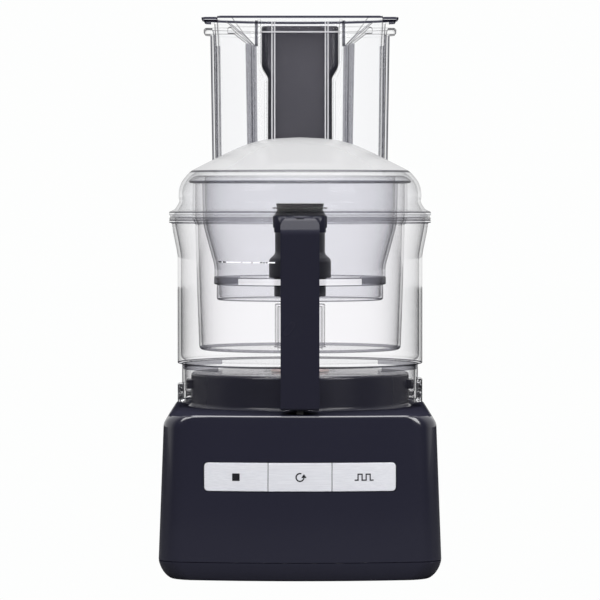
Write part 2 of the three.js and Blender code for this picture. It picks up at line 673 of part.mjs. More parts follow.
function bladeHub() {
  const h = HUB;
  const body = turned([
    [h.bore, h.bottom], [h.foot, h.bottom], [h.foot, h.beltBottom], [h.belt, h.beltBottom],
    [h.belt, h.beltTop], [h.neck, h.beltTop + 3.6], [h.neck, 263], [h.foot, 265], [h.foot, 271],
    [17.3, 275.9], [h.cap, 276.2], [h.cap, 277], [17.6, 277.2], [18.7, h.top - 0.3], [18.2, h.top],
    [0, h.top],
    [0, h.socketTop], [h.socket, h.socketTop], [h.socket, h.boreTop], [h.bore, h.boreTop],
  ], 20);
  return cut(body, bladeSlot(BLADE.lowerZ, -1), bladeSlot(BLADE.upperZ, 1));
}

// A sickle blade whose root sits in the hub's slot and whose cutting edge leads the turn.
function sickle(z, turn) {
  const { rootHalf, root, tip } = BLADE;
  const outline = new THREE.Shape();
  outline.moveTo(-rootHalf, root);
  outline.lineTo(rootHalf, root);
  outline.lineTo(rootHalf, root + 8);
  outline.quadraticCurveTo(rootHalf + 5, 44, 1, tip);
  outline.quadraticCurveTo(0, 42, -rootHalf, root + 8);
  return extruded(outline, BLADE.thickness, 6).translate(0, 0, z).rotateZ(turn);
}

// ---------------------------------------------------------------- lid, feed tube and pushers

const DOME = [
  [LID.flange, LID.flangeBottom], [LID.flange, LID.flangeTop], [96.6, 275.8], [93.2, 281.3],
  [93.8, 289], [91.6, 297.1], [84.9, 305.1], [57.2, 318.9], [41.1, 326.2], [24.8, 330], [0, 331.3],
];

function lid() {
  const inside = [
    [0, 328.9], [24.3, 327.6], [40.2, 323.8], [56.2, 316.5], [83.3, 303], [89.3, 296.2],
    [91.3, 289], [90.9, 281], [94.6, 274.4], [98.7, LID.flangeBottom],
  ];
  const lipOuter = LID.lip + 1.6;
  const shell = turned([
    ...inside, [LID.lip, LID.lipBottom], [lipOuter, LID.lipBottom], [lipOuter, LID.flangeBottom], ...DOME,
  ]);
  const tab = sector(LID.flange - 1, LID.tab, -90, LID.tabAngle, LID.flangeBottom, LID.flangeTop);
  const mouth = loft([250, 345].map((z) => ({ z, outline: hopperPlan(-HOPPER.wall) })));
  return cut(join(shell, tab), mouth);
}

// The feed tube's plan: a wide rear lobe with a round back, and a narrower bay in front of it.
function hopperPlan(grow, bay = HOPPER.bay + grow) {
  const side = HOPPER.halfWidth + grow;
  const lobe = HOPPER.lobeFront - grow;
  const front = HOPPER.front - grow;
  const radius = HOPPER.backRadius + grow;
  const end = Math.acos(side / radius);
  const back = arc(0, 0, radius, end, Math.PI - end, 8);
  const at = (x, y, length = 0) => ({ point: new THREE.Vector2(x, y), cut: length });
  const rear = back.map((p, i) => at(p.x, p.y, i === 0 || i === back.length - 1 ? 6 : 0));
  return rounded([
    at(-bay, front, 9), at(bay, front, 9), at(bay, lobe, 4), at(side, lobe, 5), ...rear,
    at(-side, lobe, 5), at(-bay, lobe, 4),
  ], 2);
}

// Levels of a hopper skin from rows of [height, growth, half-width of the bay].
function hopperSkin(rows) {
  return loft(rows.map(([z, grow, bay]) => ({ z, outline: hopperPlan(grow, bay) })));
}

function feedTube() {
  const { wall, bay, funnelZ, rimBottom, top } = HOPPER;
  const outer = hopperSkin([
    [298, 0, bay], [funnelZ, 1.4, bay + 1.4], [rimBottom - 0.2, 1.5, bay + 11], [rimBottom, 6.5, bay + 16],
    [top, 6.5, bay + 16],
  ]);
  const inner = hopperSkin([
    [290, -wall, bay - wall], [funnelZ, 1.4 - wall, bay + 1.4 - wall], [rimBottom, 1.6 - wall, bay + 9],
    [top + 1, 2.6 - wall, bay + 14],
  ]);
  const raised = DOME.map(([r, z]) => [r, z + 0.45]);
  const dome = turned([[0, 260], [LID.flange, 260], ...raised.slice(1)]);
  return cut(outer, inner, dome);
}

function wellShape(half, wideHalf, neckBottom, neckTop, bottom, top) {
  return polygon([
    [-half, bottom], [half, bottom], [half, neckBottom], [wideHalf, neckTop],
    [wideHalf, top], [-wideHalf, top], [-wideHalf, neckTop], [-half, neckBottom],
  ]);
}

function largePusher() {
  const { bottom, wall, clearance, bendLow, bendHigh, ledge, brim, top } = PUSHER;
  const slack = -HOPPER.wall - clearance;
  const bay = HOPPER.bay;
  const outer = hopperSkin([
    [bottom, slack, bay + slack], [bendLow, slack + 1, bay - 2.7], [bendHigh, slack + 1.4, bay + 5],
    [ledge - 0.2, slack + 2, bay + 17], [ledge, 6.2, bay + 22], [brim - 0.2, 6.2, bay + 22],
    [brim, 8.2, bay + 24], [top, 8.2, bay + 24],
  ]);
  const inner = hopperSkin([
    [bottom + wall, slack - wall, bay + slack - wall], [bendLow, slack + 1 - wall, bay - 2.7 - wall],
    [bendHigh, slack + 1.4 - wall, bay + 3], [top + 1, slack + 2.4 - wall, bay + 14],
  ]);
  const wellOuter = alongY(
    wellShape(WELL.half + wall, WELL.wideHalf + wall, WELL.neckBottom - 1, WELL.neckTop - 1, bottom, brim),
    WELL.front - wall,
    WELL.back + wall,
  );
  const wellInner = alongY(
    wellShape(WELL.half, WELL.wideHalf, WELL.neckBottom, WELL.neckTop, bottom - 5, top + 5),
    WELL.front,
    WELL.back,
  );
  return cut(join(cut(outer, inner), wellOuter), wellInner);
}

function smallPusher() {
  const { half, wideHalf, neckBottom, neckTop, front, back, bottom, top } = PLUG;
  const wall = PUSHER.wall;
  return cut(
    alongY(wellShape(half, wideHalf, neckBottom, neckTop, bottom, top), front, back),
    alongY(
      wellShape(half - wall, wideHalf - wall, neckBottom, neckTop, bottom + wall, top + 1),
      front + wall,
      back - wall,
    ),
  );
}

// ---------------------------------------------------------------- bowl handle

// The handle's side view in Y and Z: a grip bar with an arched top that reaches the rim, and a foot that
// reaches the skirt.
function handleOutline() {
  const { front, grip, bottom, top, foot, footTop, shoulder } = HANDLE;
  const inner = front - grip;
  const rimSide = -MAIN_BOWL.rim - 0.5;
  const outline = new THREE.Shape();
  outline.moveTo(-front + 2, bottom);
  outline.lineTo(foot, bottom);
  outline.lineTo(foot, footTop);
  outline.lineTo(-106, footTop);
  outline.quadraticCurveTo(-inner, footTop + 1, -inner, footTop + 9);
  outline.lineTo(-inner, shoulder - 12);
  outline.quadraticCurveTo(-inner + 0.5, shoulder - 3, -106, shoulder - 0.5);
  outline.lineTo(rimSide, shoulder);
  outline.lineTo(rimSide, top);
  outline.lineTo(-front + 12, top);
  outline.quadraticCurveTo(-front + 1, top - 1, -front, top - 12);
  outline.lineTo(-front, bottom + 2);
  outline.closePath();
  return outline;
}

function bowlHandle() {
  const { half, collarInner, collarOuter, collarAngle, collarBottom, bottom, top } = HANDLE;
  const { front, back, arm, elbow, nub, nubDepth, rise, play } = ROD;
  const across = [-ROD.half - play, ROD.half + play];
  const ceiling = elbow + rise + play;
  const nubBack = nub + nubDepth + play;
  const body = join(
    alongX(handleOutline(), -half, half),
    sector(collarInner, collarOuter, -90, collarAngle, collarBottom, top),
  );
  return cut(
    body,
    block(across, [front - play, back + play], [bottom - 7, ceiling]),
    block(across, [front - play, nubBack], [arm - play, ceiling]),
    block(across, [nub - play, nubBack], [arm, top + 4]),
  );
}

// ---------------------------------------------------------------- assembly

const processor = new THREE.Group();
processor.add(
  mesh('housing', housing(), NAVY_GLOSS),
  mesh('base_plate', basePlate(), NAVY_SATIN),
  ...feet(),
  ...baseScrews(),
  mesh('cord_gland', cordGland(), RUBBER),
  mesh('shaft_seal', ring(SHAFT.radius - 1, 22.5, DRUM.top + GAP, DRUM.top + 2.4), SEAL),
  ...controls(),
  ...motor(),
  ...interlock(),
  mesh('main_bowl', mainBowl(), CLEAR),
  mesh('bowl_skirt', bowlSkirt(), CLEAR),
  mesh('bowl_handle', bowlHandle(), NAVY_GLOSS),
  mesh('interlock_rod', interlockRod(), DARK_PLASTIC),
  mesh('midi_bowl', midiBowl(), CLEAR),
  mesh('mini_bowl', miniBowl(), CLEAR),
  mesh('blade_hub', bladeHub(), NAVY_SATIN),
  mesh('lower_blade', sickle(BLADE.lowerZ, Math.PI), STEEL),
  mesh('upper_blade', sickle(BLADE.upperZ, 0), STEEL),
  mesh('lid', lid(), CLEAR),
  mesh('feed_tube', feedTube(), CLEAR),
  mesh('large_pusher', largePusher(), CLEAR),
  mesh('small_pusher', smallPusher(), SMOKED),
);

export default processor;
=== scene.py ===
import math

import bmesh
import bpy
from mathutils import Matrix, Vector


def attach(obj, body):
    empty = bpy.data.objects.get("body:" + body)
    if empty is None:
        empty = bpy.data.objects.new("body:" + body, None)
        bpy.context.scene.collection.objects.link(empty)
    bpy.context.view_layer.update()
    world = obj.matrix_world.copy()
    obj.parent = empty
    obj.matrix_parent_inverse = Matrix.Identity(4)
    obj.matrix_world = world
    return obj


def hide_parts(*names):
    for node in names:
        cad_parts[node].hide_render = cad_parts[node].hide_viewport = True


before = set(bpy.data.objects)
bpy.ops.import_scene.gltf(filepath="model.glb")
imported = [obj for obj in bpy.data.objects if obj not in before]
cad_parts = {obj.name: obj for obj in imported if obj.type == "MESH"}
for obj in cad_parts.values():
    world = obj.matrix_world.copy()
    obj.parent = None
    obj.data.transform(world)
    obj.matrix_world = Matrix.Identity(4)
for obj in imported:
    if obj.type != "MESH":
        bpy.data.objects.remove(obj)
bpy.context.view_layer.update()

# Lengths are in millimetres unless a comment says otherwise. The front is at -Y.
MM = 0.001
DEGREE = math.pi / 180
TURN_STEPS = 144
SECTOR_STEPS = 10
SMOOTH_BELOW = 34 * DEGREE
MERGE_WITHIN = 1e-6  # metres
DEGENERATE_BELOW = 1e-7  # metres


# -------- meshes

def smooth(mesh):
    mesh.shade_smooth()
    mesh.set_sharp_from_angle(angle=SMOOTH_BELOW)


def make(name, verts, faces):
    """A closed mesh from points in millimetres, with doubled points merged and its faces turned outwards."""
    mesh = bpy.data.meshes.new(name)
    mesh.from_pydata([[c * MM for c in v] for v in verts], [], faces)
    work = bmesh.new()
    work.from_mesh(mesh)
    bmesh.ops.remove_doubles(work, verts=work.verts, dist=MERGE_WITHIN)
    bmesh.ops.dissolve_degenerate(work, edges=work.edges, dist=DEGENERATE_BELOW)
    bmesh.ops.recalc_face_normals(work, faces=work.faces)
    work.to_mesh(mesh)
    work.free()
    smooth(mesh)
    obj = bpy.data.objects.new(name, mesh)
    bpy.context.scene.collection.objects.link(obj)
    return obj


def bake_modifiers(obj):
    graph = bpy.context.evaluated_depsgraph_get()
    made = bpy.data.meshes.new_from_object(obj.evaluated_get(graph))
    obj.modifiers.clear()
    obj.data = made
    obj.data.name = obj.name
    smooth(obj.data)


def boolean(obj, operation, *tools):
    for tool in tools:
        step = obj.modifiers.new(operation.lower(), "BOOLEAN")
        step.operation = operation
        step.solver = "EXACT"
        step.object = tool
    bake_modifiers(obj)
    for tool in tools:
        bpy.data.objects.remove(tool)
    return obj


def cut(obj, *tools):
    return boolean(obj, "DIFFERENCE", *tools)


def join(obj, *tools):
    return boolean(obj, "UNION", *tools)


def bevel(obj, width, segments=3, angle=30):
    step = obj.modifiers.new("bevel", "BEVEL")
    step.width = width * MM
    step.segments = segments
    step.limit_method = "ANGLE"
    step.angle_limit = angle * DEGREE
    bake_modifiers(obj)


def shift(obj, x, y):
    for vertex in obj.data.vertices:
        vertex.co.x += x * MM
        vertex.co.y += y * MM


def turn_to_y(y, z):
    """Lays an upright piece back, so that its bottom starts at y, at height z."""
    return Matrix.Translation((0, y * MM, z * MM)) @ Matrix.Rotation(-math.pi / 2, 4, "X")


def curve(start, turn, end, t):
    """A point on the quadratic curve that leaves start towards turn and arrives at end, for t from 0 to 1."""
    return start * (1 - t) ** 2 + turn * 2 * t * (1 - t) + end * t * t


def fillet(corners, steps=5, closed=True):
    """A 2-D outline whose corners (a, b, cut) are rounded by a curve that starts cut before the corner."""
    line = []
    count = len(corners)
    for i, corner in enumerate(corners):
        here = Vector(corner[:2])
        length = corner[2] if len(corner) > 2 else 0
        if not length or (not closed and i in (0, count - 1)):
            line.append(here)
            continue
        before = Vector(corners[i - 1][:2]) - here
        after = Vector(corners[(i + 1) % count][:2]) - here
        start = here + before.normalized() * min(length, before.length * 0.49)
        end = here + after.normalized() * min(length, after.length * 0.49)
        line += [curve(start, here, end, k / steps) for k in range(steps + 1)]
    return line


def turned(name, corners, steps=TURN_STEPS, rounding=5):
    """A solid of revolution from (radius, height, cut) corners that close on themselves or on the axis."""
    line = fillet(corners, rounding)
    count = len(line)
    verts = [
        (p.x * math.cos(2 * math.pi * k / steps), p.x * math.sin(2 * math.pi * k / steps), p.y)
        for k in range(steps)
        for p in line
    ]
    faces = []
    for k in range(steps):
        for i in range(count):
            j = (i + 1) % count
            if line[i].x < 1e-6 and line[j].x < 1e-6:
                continue
            a, b = k * count, ((k + 1) % steps) * count
            faces.append((a + i, b + i, b + j, a + j))
    return make(name, verts, faces)


def skin(rings, looped=False):
    """Points and faces over closed rings of equal count, capped at both ends or joined last to first."""
    size = len(rings[0])
    verts = [p for ring in rings for p in ring]
    faces = []
    for r in range(len(rings) if looped else len(rings) - 1):
        a, b = r * size, ((r + 1) % len(rings)) * size
        faces += [(a + i, a + (i + 1) % size, b + (i + 1) % size, b + i) for i in range(size)]
    if not looped:
        faces.append(tuple(reversed(range(size))))
        faces.append(tuple((len(rings) - 1) * size + i for i in range(size)))
    return verts, faces


def loft(name, rings, looped=False):
    return make(name, *skin(rings, looped))


def level(outline, z):
    return [(p[0], p[1], z) for p in outline]


def prism(name, outline, bottom, top):
    return loft(name, [level(outline, bottom), level(outline, top)])


def across(name, outline, start, end):
    """An outline in Y and Z, given its width along X."""
    return loft(name, [[(x, p[0], p[1]) for p in outline] for x in (start, end)])


def inwards(name, outline, start, end):
    """An outline in X and Z, given its depth along Y."""
    return loft(name, [[(p[0], y, p[1]) for p in outline] for y in (start, end)])


def oblong(x0, x1, y0, y1, corner=0):
    """Corners for an outline, or for fillet where they have a cut."""
    return [(x0, y0, corner), (x1, y0, corner), (x1, y1, corner), (x0, y1, corner)]


def circle(radius, steps=32, centre=(0, 0)):
    angles = [2 * math.pi * k / steps for k in range(steps)]
    return [(centre[0] + radius * math.cos(a), centre[1] + radius * math.sin(a)) for a in angles]


def post(name, radius, x, y, bottom, top):
    return prism(name, circle(radius, centre=(x, y)), bottom, top)


def sector(name, inner, outer, centre, half, bottom, top):
    """Part of a ring, centred on an angle in degrees and reaching half of one to each side."""
    angles = [(centre - half + 2 * half * k / SECTOR_STEPS) * DEGREE for k in range(SECTOR_STEPS + 1)]
    outline = [(outer * math.cos(a), outer * math.sin(a)) for a in angles]
    outline += [(inner * math.cos(a), inner * math.sin(a)) for a in reversed(angles)]
    return prism(name, outline, bottom, top)


LEVEL = 0.97  # a face whose normal points further up or down than this counts as level
SIDEWAYS = 0.97  # and a face whose normal points further to the side than this as a side wall


def reach(point):
    """The distance from the upright middle axis."""
    return math.hypot(point.x, point.y)


def outwards(centre, normal):
    """Above 0 where a face looks away from the middle axis, and below 0 where it looks towards it."""
    return centre.x * normal.x + centre.y * normal.y


def is_level(normal):
    return abs(normal.z) > LEVEL


def is_slanted(normal, least=0.2):
    return least < abs(normal.z) < LEVEL


def is_corner(normal, least=0.3):
    """Holds on the upright corners between the front wall and the side walls of a box."""
    return least < abs(normal.x) < SIDEWAYS


def paint(obj, index, chosen):
    """Gives the faces for which chosen(centre, normal) holds another of the object's materials."""
    for face in obj.data.polygons:
        if chosen(face.center / MM, face.normal):
            face.material_index = index


def place(obj, body, materials, replaces=()):
    """Evens the shading of a finished piece, gives it its materials and body, and hides the CAD nodes that it
    replaces.
    """
    even = obj.modifiers.new("even", "WEIGHTED_NORMAL")
    even.keep_sharp = True
    bake_modifiers(obj)
    obj.data.materials.clear()
    for material in materials:
        obj.data.materials.append(material)
    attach(obj, body)
    if replaces:
        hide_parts(*replaces)


# -------- node materials

class Nodes:
    """Short calls that add and link the nodes of a material or a world."""

    def __init__(self, owner, output="OutputMaterial"):
        self.owner = owner
        owner.use_nodes = True
        self.tree = owner.node_tree
        self.tree.nodes.clear()
        self.output = self.tree.nodes.new("ShaderNode" + output)

    def add(self, kind, inputs=(), **settings):
        node = self.tree.nodes.new("ShaderNode" + kind)
        for key, value in settings.items():
            setattr(node, key, value)
        for key, value in dict(inputs).items():
            if isinstance(value, bpy.types.NodeSocket):
                self.tree.links.new(value, node.inputs[key])
            else:
                node.inputs[key].default_value = value
        return node

    def place(self, scale=(1, 1, 1)):
        """Object coordinates, stretched."""
        where = self.add("TexCoord").outputs["Object"]
        return self.add("Mapping", {"Vector": where, "Scale": scale}).outputs["Vector"]

    def noise(self, scale, detail=3, roughness=0.5, stretch=(1, 1, 1)):
        inputs = {"Vector": self.place(stretch), "Scale": scale, "Detail": detail, "Roughness": roughness}
        return self.add("TexNoise", inputs).outputs["Fac"]

    def math(self, operation, first, second, clamp=False):
        return self.add("Math", {0: first, 1: second}, operation=operation, use_clamp=clamp).outputs[0]

    def span(self, value, low, high, start=0.0, end=1.0, **settings):
        """Takes a value that runs from start to end, and gives one that runs from low to high."""
        inputs = {"Value": value, "From Min": start, "From Max": end, "To Min": low, "To Max": high}
        return self.add("MapRange", inputs, **settings).outputs["Result"]

    def blend(self, factor, first, second):
        node = self.add("Mix", data_type="RGBA")
        for socket, value in ((node.inputs[0], factor), (node.inputs[6], first), (node.inputs[7], second)):
            if isinstance(value, bpy.types.NodeSocket):
                self.tree.links.new(value, socket)
            else:
                socket.default_value = value
        return node.outputs[2]

    def bump(self, height, strength, distance=0.0002):
        inputs = {"Height": height, "Strength": strength, "Distance": distance}
        return self.add("Bump", inputs).outputs["Normal"]

    def facing(self):
        return self.add("LayerWeight", {"Blend": 0.5}).outputs["Facing"]

    def finish(self, shader):
        self.tree.links.new(shader, self.output.inputs["Surface"])
        return self.owner


def blank(name):
    return Nodes(bpy.data.materials.new(name))


def colour(r, g, b):
    """A linear colour from sRGB numbers of 0 to 255."""
    def line(c):
        c /= 255
        return c / 12.92 if c <= 0.04045 else ((c + 0.055) / 1.055) ** 2.4
    return (line(r), line(g), line(b), 1)


COAT_ROUGHNESS = 0.04


def moulded(name, dark, light, rough, bump=0.03, grain=900, coat=0.0, patch=22, painted_glow=0.0, specular=0.5):
    """Moulded plastic: a faint drift of colour, a fine skin and uneven polish."""
    n = blank(name)
    drift = n.noise(patch, 4)
    skin_noise = n.noise(grain, 2)
    shader = n.add("BsdfPrincipled", {
        "Base Color": n.blend(drift, colour(*dark), colour(*light)),
        "Roughness": n.span(n.noise(25, 2), rough[0], rough[1], 0.1, 0.9),
        "Normal": n.bump(skin_noise, bump),
        "Specular IOR Level": specular,
        "Coat Weight": coat,
        "Coat Roughness": COAT_ROUGHNESS,
        "Emission Color": (1, 1, 1, 1),
        "Emission Strength": painted_glow,
    })
    return n.finish(shader.outputs[0])


# Painted shade that clear plastic turns to towards a grazing view, in place of light that its walls bend
# away.
EDGE_SHADE = (0.02, 0.02, 0.03, 1)
# The colour of the painted glow in a clear plastic's sheen.
SHEEN_GLOW_COLOUR = (0.99, 0.99, 1, 1)
STRAIGHT_GLOSS = 0.003  # the share of mirror in clear plastic that is seen straight on
GLOSS_POWER = 5.0
CLEAR_POLISH = (0.02, 0.06)
SHEEN_FADE = 1.2
CLEAR_IOR = 1.49


def clear(name, tint, painted_sheen=0.0, sheen_above=None, sheen_tone=0.95, painted_glow=0.34, gloss=0.5,
          soft=2.5, soft_loss=0.2, rim_loss=0.85, rim_power=14.0):
    """Clear plastic that light goes straight through, darker and more of a mirror towards a grazing view.

    A painted sheen, a pale diffuse with a glow that stands in for light reflected and bent in the plastic,
    takes the share given, from the given height if there is one.
    """
    n = blank(name)
    facing = n.facing()
    near = n.math("MULTIPLY", n.math("POWER", facing, soft), soft_loss)
    far = n.math("MULTIPLY", n.math("POWER", facing, rim_power), rim_loss)
    loss = n.math("ADD", n.math("ADD", near, far), n.span(n.noise(14, 3), 0.0, 0.005), clamp=True)
    body = n.add("BsdfTransparent", {"Color": n.blend(loss, tint, EDGE_SHADE)}).outputs[0]
    # The painted sheen: a pale diffuse plus a glow, in place of reflected and bent light.
    if painted_sheen:
        pale, paler = (sheen_tone * 0.98, sheen_tone * 0.98, sheen_tone, 1), (sheen_tone, sheen_tone, sheen_tone * 1.02, 1)
        sheen_diffuse = n.add("BsdfDiffuse", {"Color": n.blend(n.noise(30, 3), pale, paler)})
        sheen_glow_shader = n.add("Emission", {"Color": SHEEN_GLOW_COLOUR, "Strength": painted_glow})
        sheen_shader = n.add("AddShader", {0: sheen_diffuse.outputs[0], 1: sheen_glow_shader.outputs[0]})
        share = painted_sheen
        if sheen_above:
            height = n.add("SeparateXYZ", {0: n.place()}).outputs["Z"]
            share = n.span(height, 0.0, painted_sheen, sheen_above * MM, (sheen_above + SHEEN_FADE) * MM)
        body = n.add("MixShader", {"Fac": share, 1: body, 2: sheen_shader.outputs[0]}).outputs[0]
    mirror = n.add("BsdfGlossy", {
        "Color": (1, 1, 1, 1),
        "Roughness": n.span(n.noise(120, 4), *CLEAR_POLISH),
        "Normal": n.bump(n.noise(45, 3), 0.04, 0.0003),
    })
    share = n.span(n.math("POWER", facing, GLOSS_POWER), STRAIGHT_GLOSS, gloss)
    return n.finish(n.add("MixShader", {"Fac": share, 1: body, 2: mirror.outputs[0]}).outputs[0])


def refracting(name):
    """Solid clear plastic that bends what is behind it."""
    n = blank(name)
    shader = n.add("BsdfPrincipled", {
        "Base Color": n.blend(n.noise(40, 3), (0.93, 0.94, 0.96, 1), (0.98, 0.98, 1, 1)),
        "Roughness": n.span(n.noise(300, 3), 0.01, 0.05),
        "Normal": n.bump(n.noise(220, 2), 0.6, 0.0012),
        "IOR": CLEAR_IOR,
        "Transmission Weight": 1.0,
    })
    return n.finish(shader.outputs[0])


def metal(name, dark, light, rough, stretch=(1, 1, 1), scale=400, bump=0.05, metallic=1.0):
    """Bare metal, whose grain is drawn out along the axis where stretch is below 1."""
    n = blank(name)
    lines = n.noise(scale, 5, 0.7, stretch)
    shader = n.add("BsdfPrincipled", {
        "Base Color": n.blend(n.span(lines, 0, 1, 0.3, 0.7), colour(*dark), colour(*light)),
        "Metallic": metallic,
        "Roughness": n.span(lines, rough[0], rough[1], 0.3, 0.7),
        "Normal": n.bump(lines, bump),
    })
    return n.finish(shader.outputs[0])


def banded(name, dark, light, scale, rough, metallic):
    """Stacked sheet or wound wire: even level bands."""
    n = blank(name)
    wave = n.add("TexWave", {"Vector": n.place(), "Scale": scale, "Distortion": 0.6, "Detail": 2},
                 bands_direction="Z").outputs["Fac"]
    shader = n.add("BsdfPrincipled", {
        "Base Color": n.blend(wave, colour(*dark), colour(*light)),
        "Metallic": metallic,
        "Roughness": n.span(n.noise(200), rough[0], rough[1]),
        "Normal": n.bump(wave, 0.4, 0.0003),
    })
    return n.finish(shader.outputs[0])


def circuit(name):
    n = blank(name)
    cells = n.add("TexBrick", {
        "Vector": n.place(), "Scale": 90.0, "Mortar Size": 0.012,
        "Color1": colour(30, 92, 58), "Color2": colour(36, 104, 66), "Mortar": colour(178, 150, 96),
    })
    shader = n.add("BsdfPrincipled", {
        "Base Color": n.blend(n.span(n.noise(50), 0, 0.3), cells.outputs["Color"], colour(20, 60, 40)),
        "Roughness": n.span(n.noise(300), 0.35, 0.6),
        "Normal": n.bump(cells.outputs["Fac"], 0.2),
    })
    return n.finish(shader.outputs[0])


# The plastics of the base are one colour, with the polish that each part shows, and a copy without any
# reflection paints shade under the bowl and along the seam.
NAVY = moulded("navy_gloss", (33, 33, 45), (35, 35, 47), (0.10, 0.15), 0.008, 300, coat=0.5)
NAVY_DRUM = moulded("navy_drum", (36, 36, 46), (38, 38, 48), (0.22, 0.28), 0.008, 300, specular=0.3)
NAVY_SHADED = moulded("navy_painted_shade", (33, 33, 43), (36, 36, 46), (0.4, 0.5), 0.01, 300, specular=0.0)
TRAY_NAVY = moulded("navy_tray", (33, 33, 45), (35, 35, 47), (0.14, 0.22), 0.015, 300, coat=0.3)
HANDLE_NAVY = moulded("navy_handle", (31, 31, 42), (33, 33, 44), (0.22, 0.3), 0.01, 300, specular=0.22)
HUB_DARK = moulded("hub_dark", (24, 24, 32), (30, 30, 38), (0.3, 0.42), 0.04)
# Faces at edges, ribs and rims get the darker or hazier of these, to imitate light that bends there.
CLEAR_OUT = clear("clear_outside", (0.998, 0.996, 1, 1), soft_loss=0.05, rim_loss=0.4, rim_power=24,
                  gloss=0.8)
CLEAR = clear("clear_plastic", (0.998, 0.997, 1, 1), soft_loss=0.2, rim_loss=0.8)
CLEAR_INNER = clear("clear_inner", (0.95, 0.951, 0.961, 1), soft_loss=0.2, rim_loss=0.7)
CLEAR_TUBE = clear("clear_tube", (0.998, 0.998, 1, 1), soft=3.0, soft_loss=0.25, rim_loss=1.0, rim_power=8.0)
CLEAR_FLAT = clear("clear_flat", (0.993, 0.993, 0.996, 1), soft_loss=0.02, rim_loss=0.03, gloss=0.12)
CLEAR_LINE, CLEAR_RIM, CLEAR_SIDE, CLEAR_BRIM = [
    clear(name, (*tint, 1), soft_loss=0.9, rim_loss=0.1, gloss=gloss)
    for name, tint, gloss in (
        ("clear_line", (0.16, 0.16, 0.18), 0.15), ("clear_rim", (0.48, 0.48, 0.51), 0.3),
        ("clear_side", (0.42, 0.42, 0.45), 0.15), ("clear_brim", (0.07, 0.07, 0.1), 0.05),
    )
]
CLEAR_RIDGE = clear("clear_ridge", (1, 1, 1, 1), painted_sheen=0.55, soft=1.2, soft_loss=1.0, rim_loss=0.5, gloss=0.1)
CLEAR_RIB = clear("clear_rib", (0.9, 0.9, 0.92, 1), painted_sheen=0.5, sheen_tone=0.5, painted_glow=0.3, soft_loss=0.6, gloss=0.2)
# The dome's top takes a painted sheen and glow, in place of the white ceiling's reflection in clear plastic.
DOME_SHEEN = clear("clear_dome_painted_sheen", (0.985, 0.985, 0.99, 1), painted_sheen=0.74, sheen_above=304.4, sheen_tone=0.14, painted_glow=0.5,
              soft_loss=0.12, rim_loss=0.1, gloss=0.4)
REFRACTING = refracting("clear_solid")
SMOKE = moulded("smoked", (74, 73, 79), (76, 75, 81), (0.4, 0.46), 0.01, 300, patch=200, specular=0.2)
# A darker copy of the smoked plastic: painted shade for the plug's sides.
SMOKE_SHADED_SIDE = moulded("smoked_painted_shade", (38, 38, 46), (41, 41, 49), (0.3, 0.36), 0.01, 300, patch=200)
BRUSHED = metal("brushed_steel", (212, 213, 219), (228, 229, 234), (0.35, 0.5),
                (0.02, 1, 1), 1500, 0.05, 0.2)
STEEL = metal("ground_steel", (150, 152, 156), (196, 198, 202), (0.18, 0.32), (0.1, 1, 1), 900, 0.04)
CAST = metal("cast_aluminium", (150, 152, 155), (186, 188, 192), (0.45, 0.65), scale=260, bump=0.25)
SHEET_STACK = banded("lamination", (86, 88, 92), (146, 148, 152), 320, (0.4, 0.6), 0.8)
WIRE = banded("copper_wire", (128, 62, 28), (206, 118, 62), 260, (0.25, 0.4), 0.9)
RUBBER = moulded("rubber", (22, 22, 24), (34, 34, 36), (0.75, 0.9), 0.25, 1400)
SEAL = moulded("seal", (176, 160, 156), (198, 184, 180), (0.5, 0.65), 0.1)
DARK = moulded("dark_plastic", (34, 34, 36), (48, 48, 50), (0.45, 0.6), 0.15)
PCB = circuit("board")
CAN = metal("capacitor_can", (196, 196, 192), (222, 222, 218), (0.35, 0.45), (1, 0.1, 1), 500, 0.04, 0.6)
INK = moulded("ink", (22, 22, 26), (34, 34, 38), (0.5, 0.6), 0.05, specular=0.1)
# The white print glows with painted light, so that it stays bright.
GLOWING_WHITE_PRINT = moulded("white_print_painted_glow", (246, 247, 250), (254, 254, 255), (0.4, 0.5), 0.05, painted_glow=0.6)


# -------- base

SEAM, BASE_TOP, SHOULDER, BROW, WALL = 14.3, 123.5, 10.0, 2.5, 2.6
BASE_HALF, BASE_FRONT, BASE_BACK, CORNER = 105.7, 133.0, 131.5, 22.0
BOW = 400.0  # the radius of the front wall, which bulges
TAPER, BACK_TAPER = 4, 2  # how far the walls lean in from the seam to the top
PANEL_HALF, PANEL_LOW, PANEL_HIGH, PANEL_CORNER, PANEL_MIDDLE = 71, 67.2, 88.2, 3.2, 77.7
DRUM_TOP = 150.1
GLAND_X, GLAND_Z = 65, 34
FOOT_X, FOOT_Y, SCREW_XY = 75, 105, 88


def base_plan(half, front, back, arc_steps=10, bow_steps=14):
    """The base from above: rounded corners, straight sides and back, and a front that bulges."""
    inner = half - CORNER
    lean = math.asin(inner / BOW)
    start = inner + CORNER * math.sin(lean)

    def bowed(x):
        return -front + x * x / (2 * BOW)

    def arc(cx, cy, from_angle, to_angle):
        return [
            (cx + CORNER * math.cos(a), cy + CORNER * math.sin(a))
            for a in (from_angle + (to_angle - from_angle) * k / arc_steps for k in range(arc_steps + 1))
        ]

    front_y = bowed(start) + CORNER * math.cos(lean)
    quarter = math.pi / 2
    bow_line = [start * (2 * k / bow_steps - 1) for k in range(1, bow_steps)]
    return (
        arc(-inner, front_y, 2 * quarter, 3 * quarter - lean)
        + [(x, bowed(x)) for x in bow_line]
        + arc(inner, front_y, -quarter + lean, 0)
        + arc(inner, back - CORNER, 0, quarter)
        + arc(-inner, back - CORNER, quarter, 2 * quarter)
    )


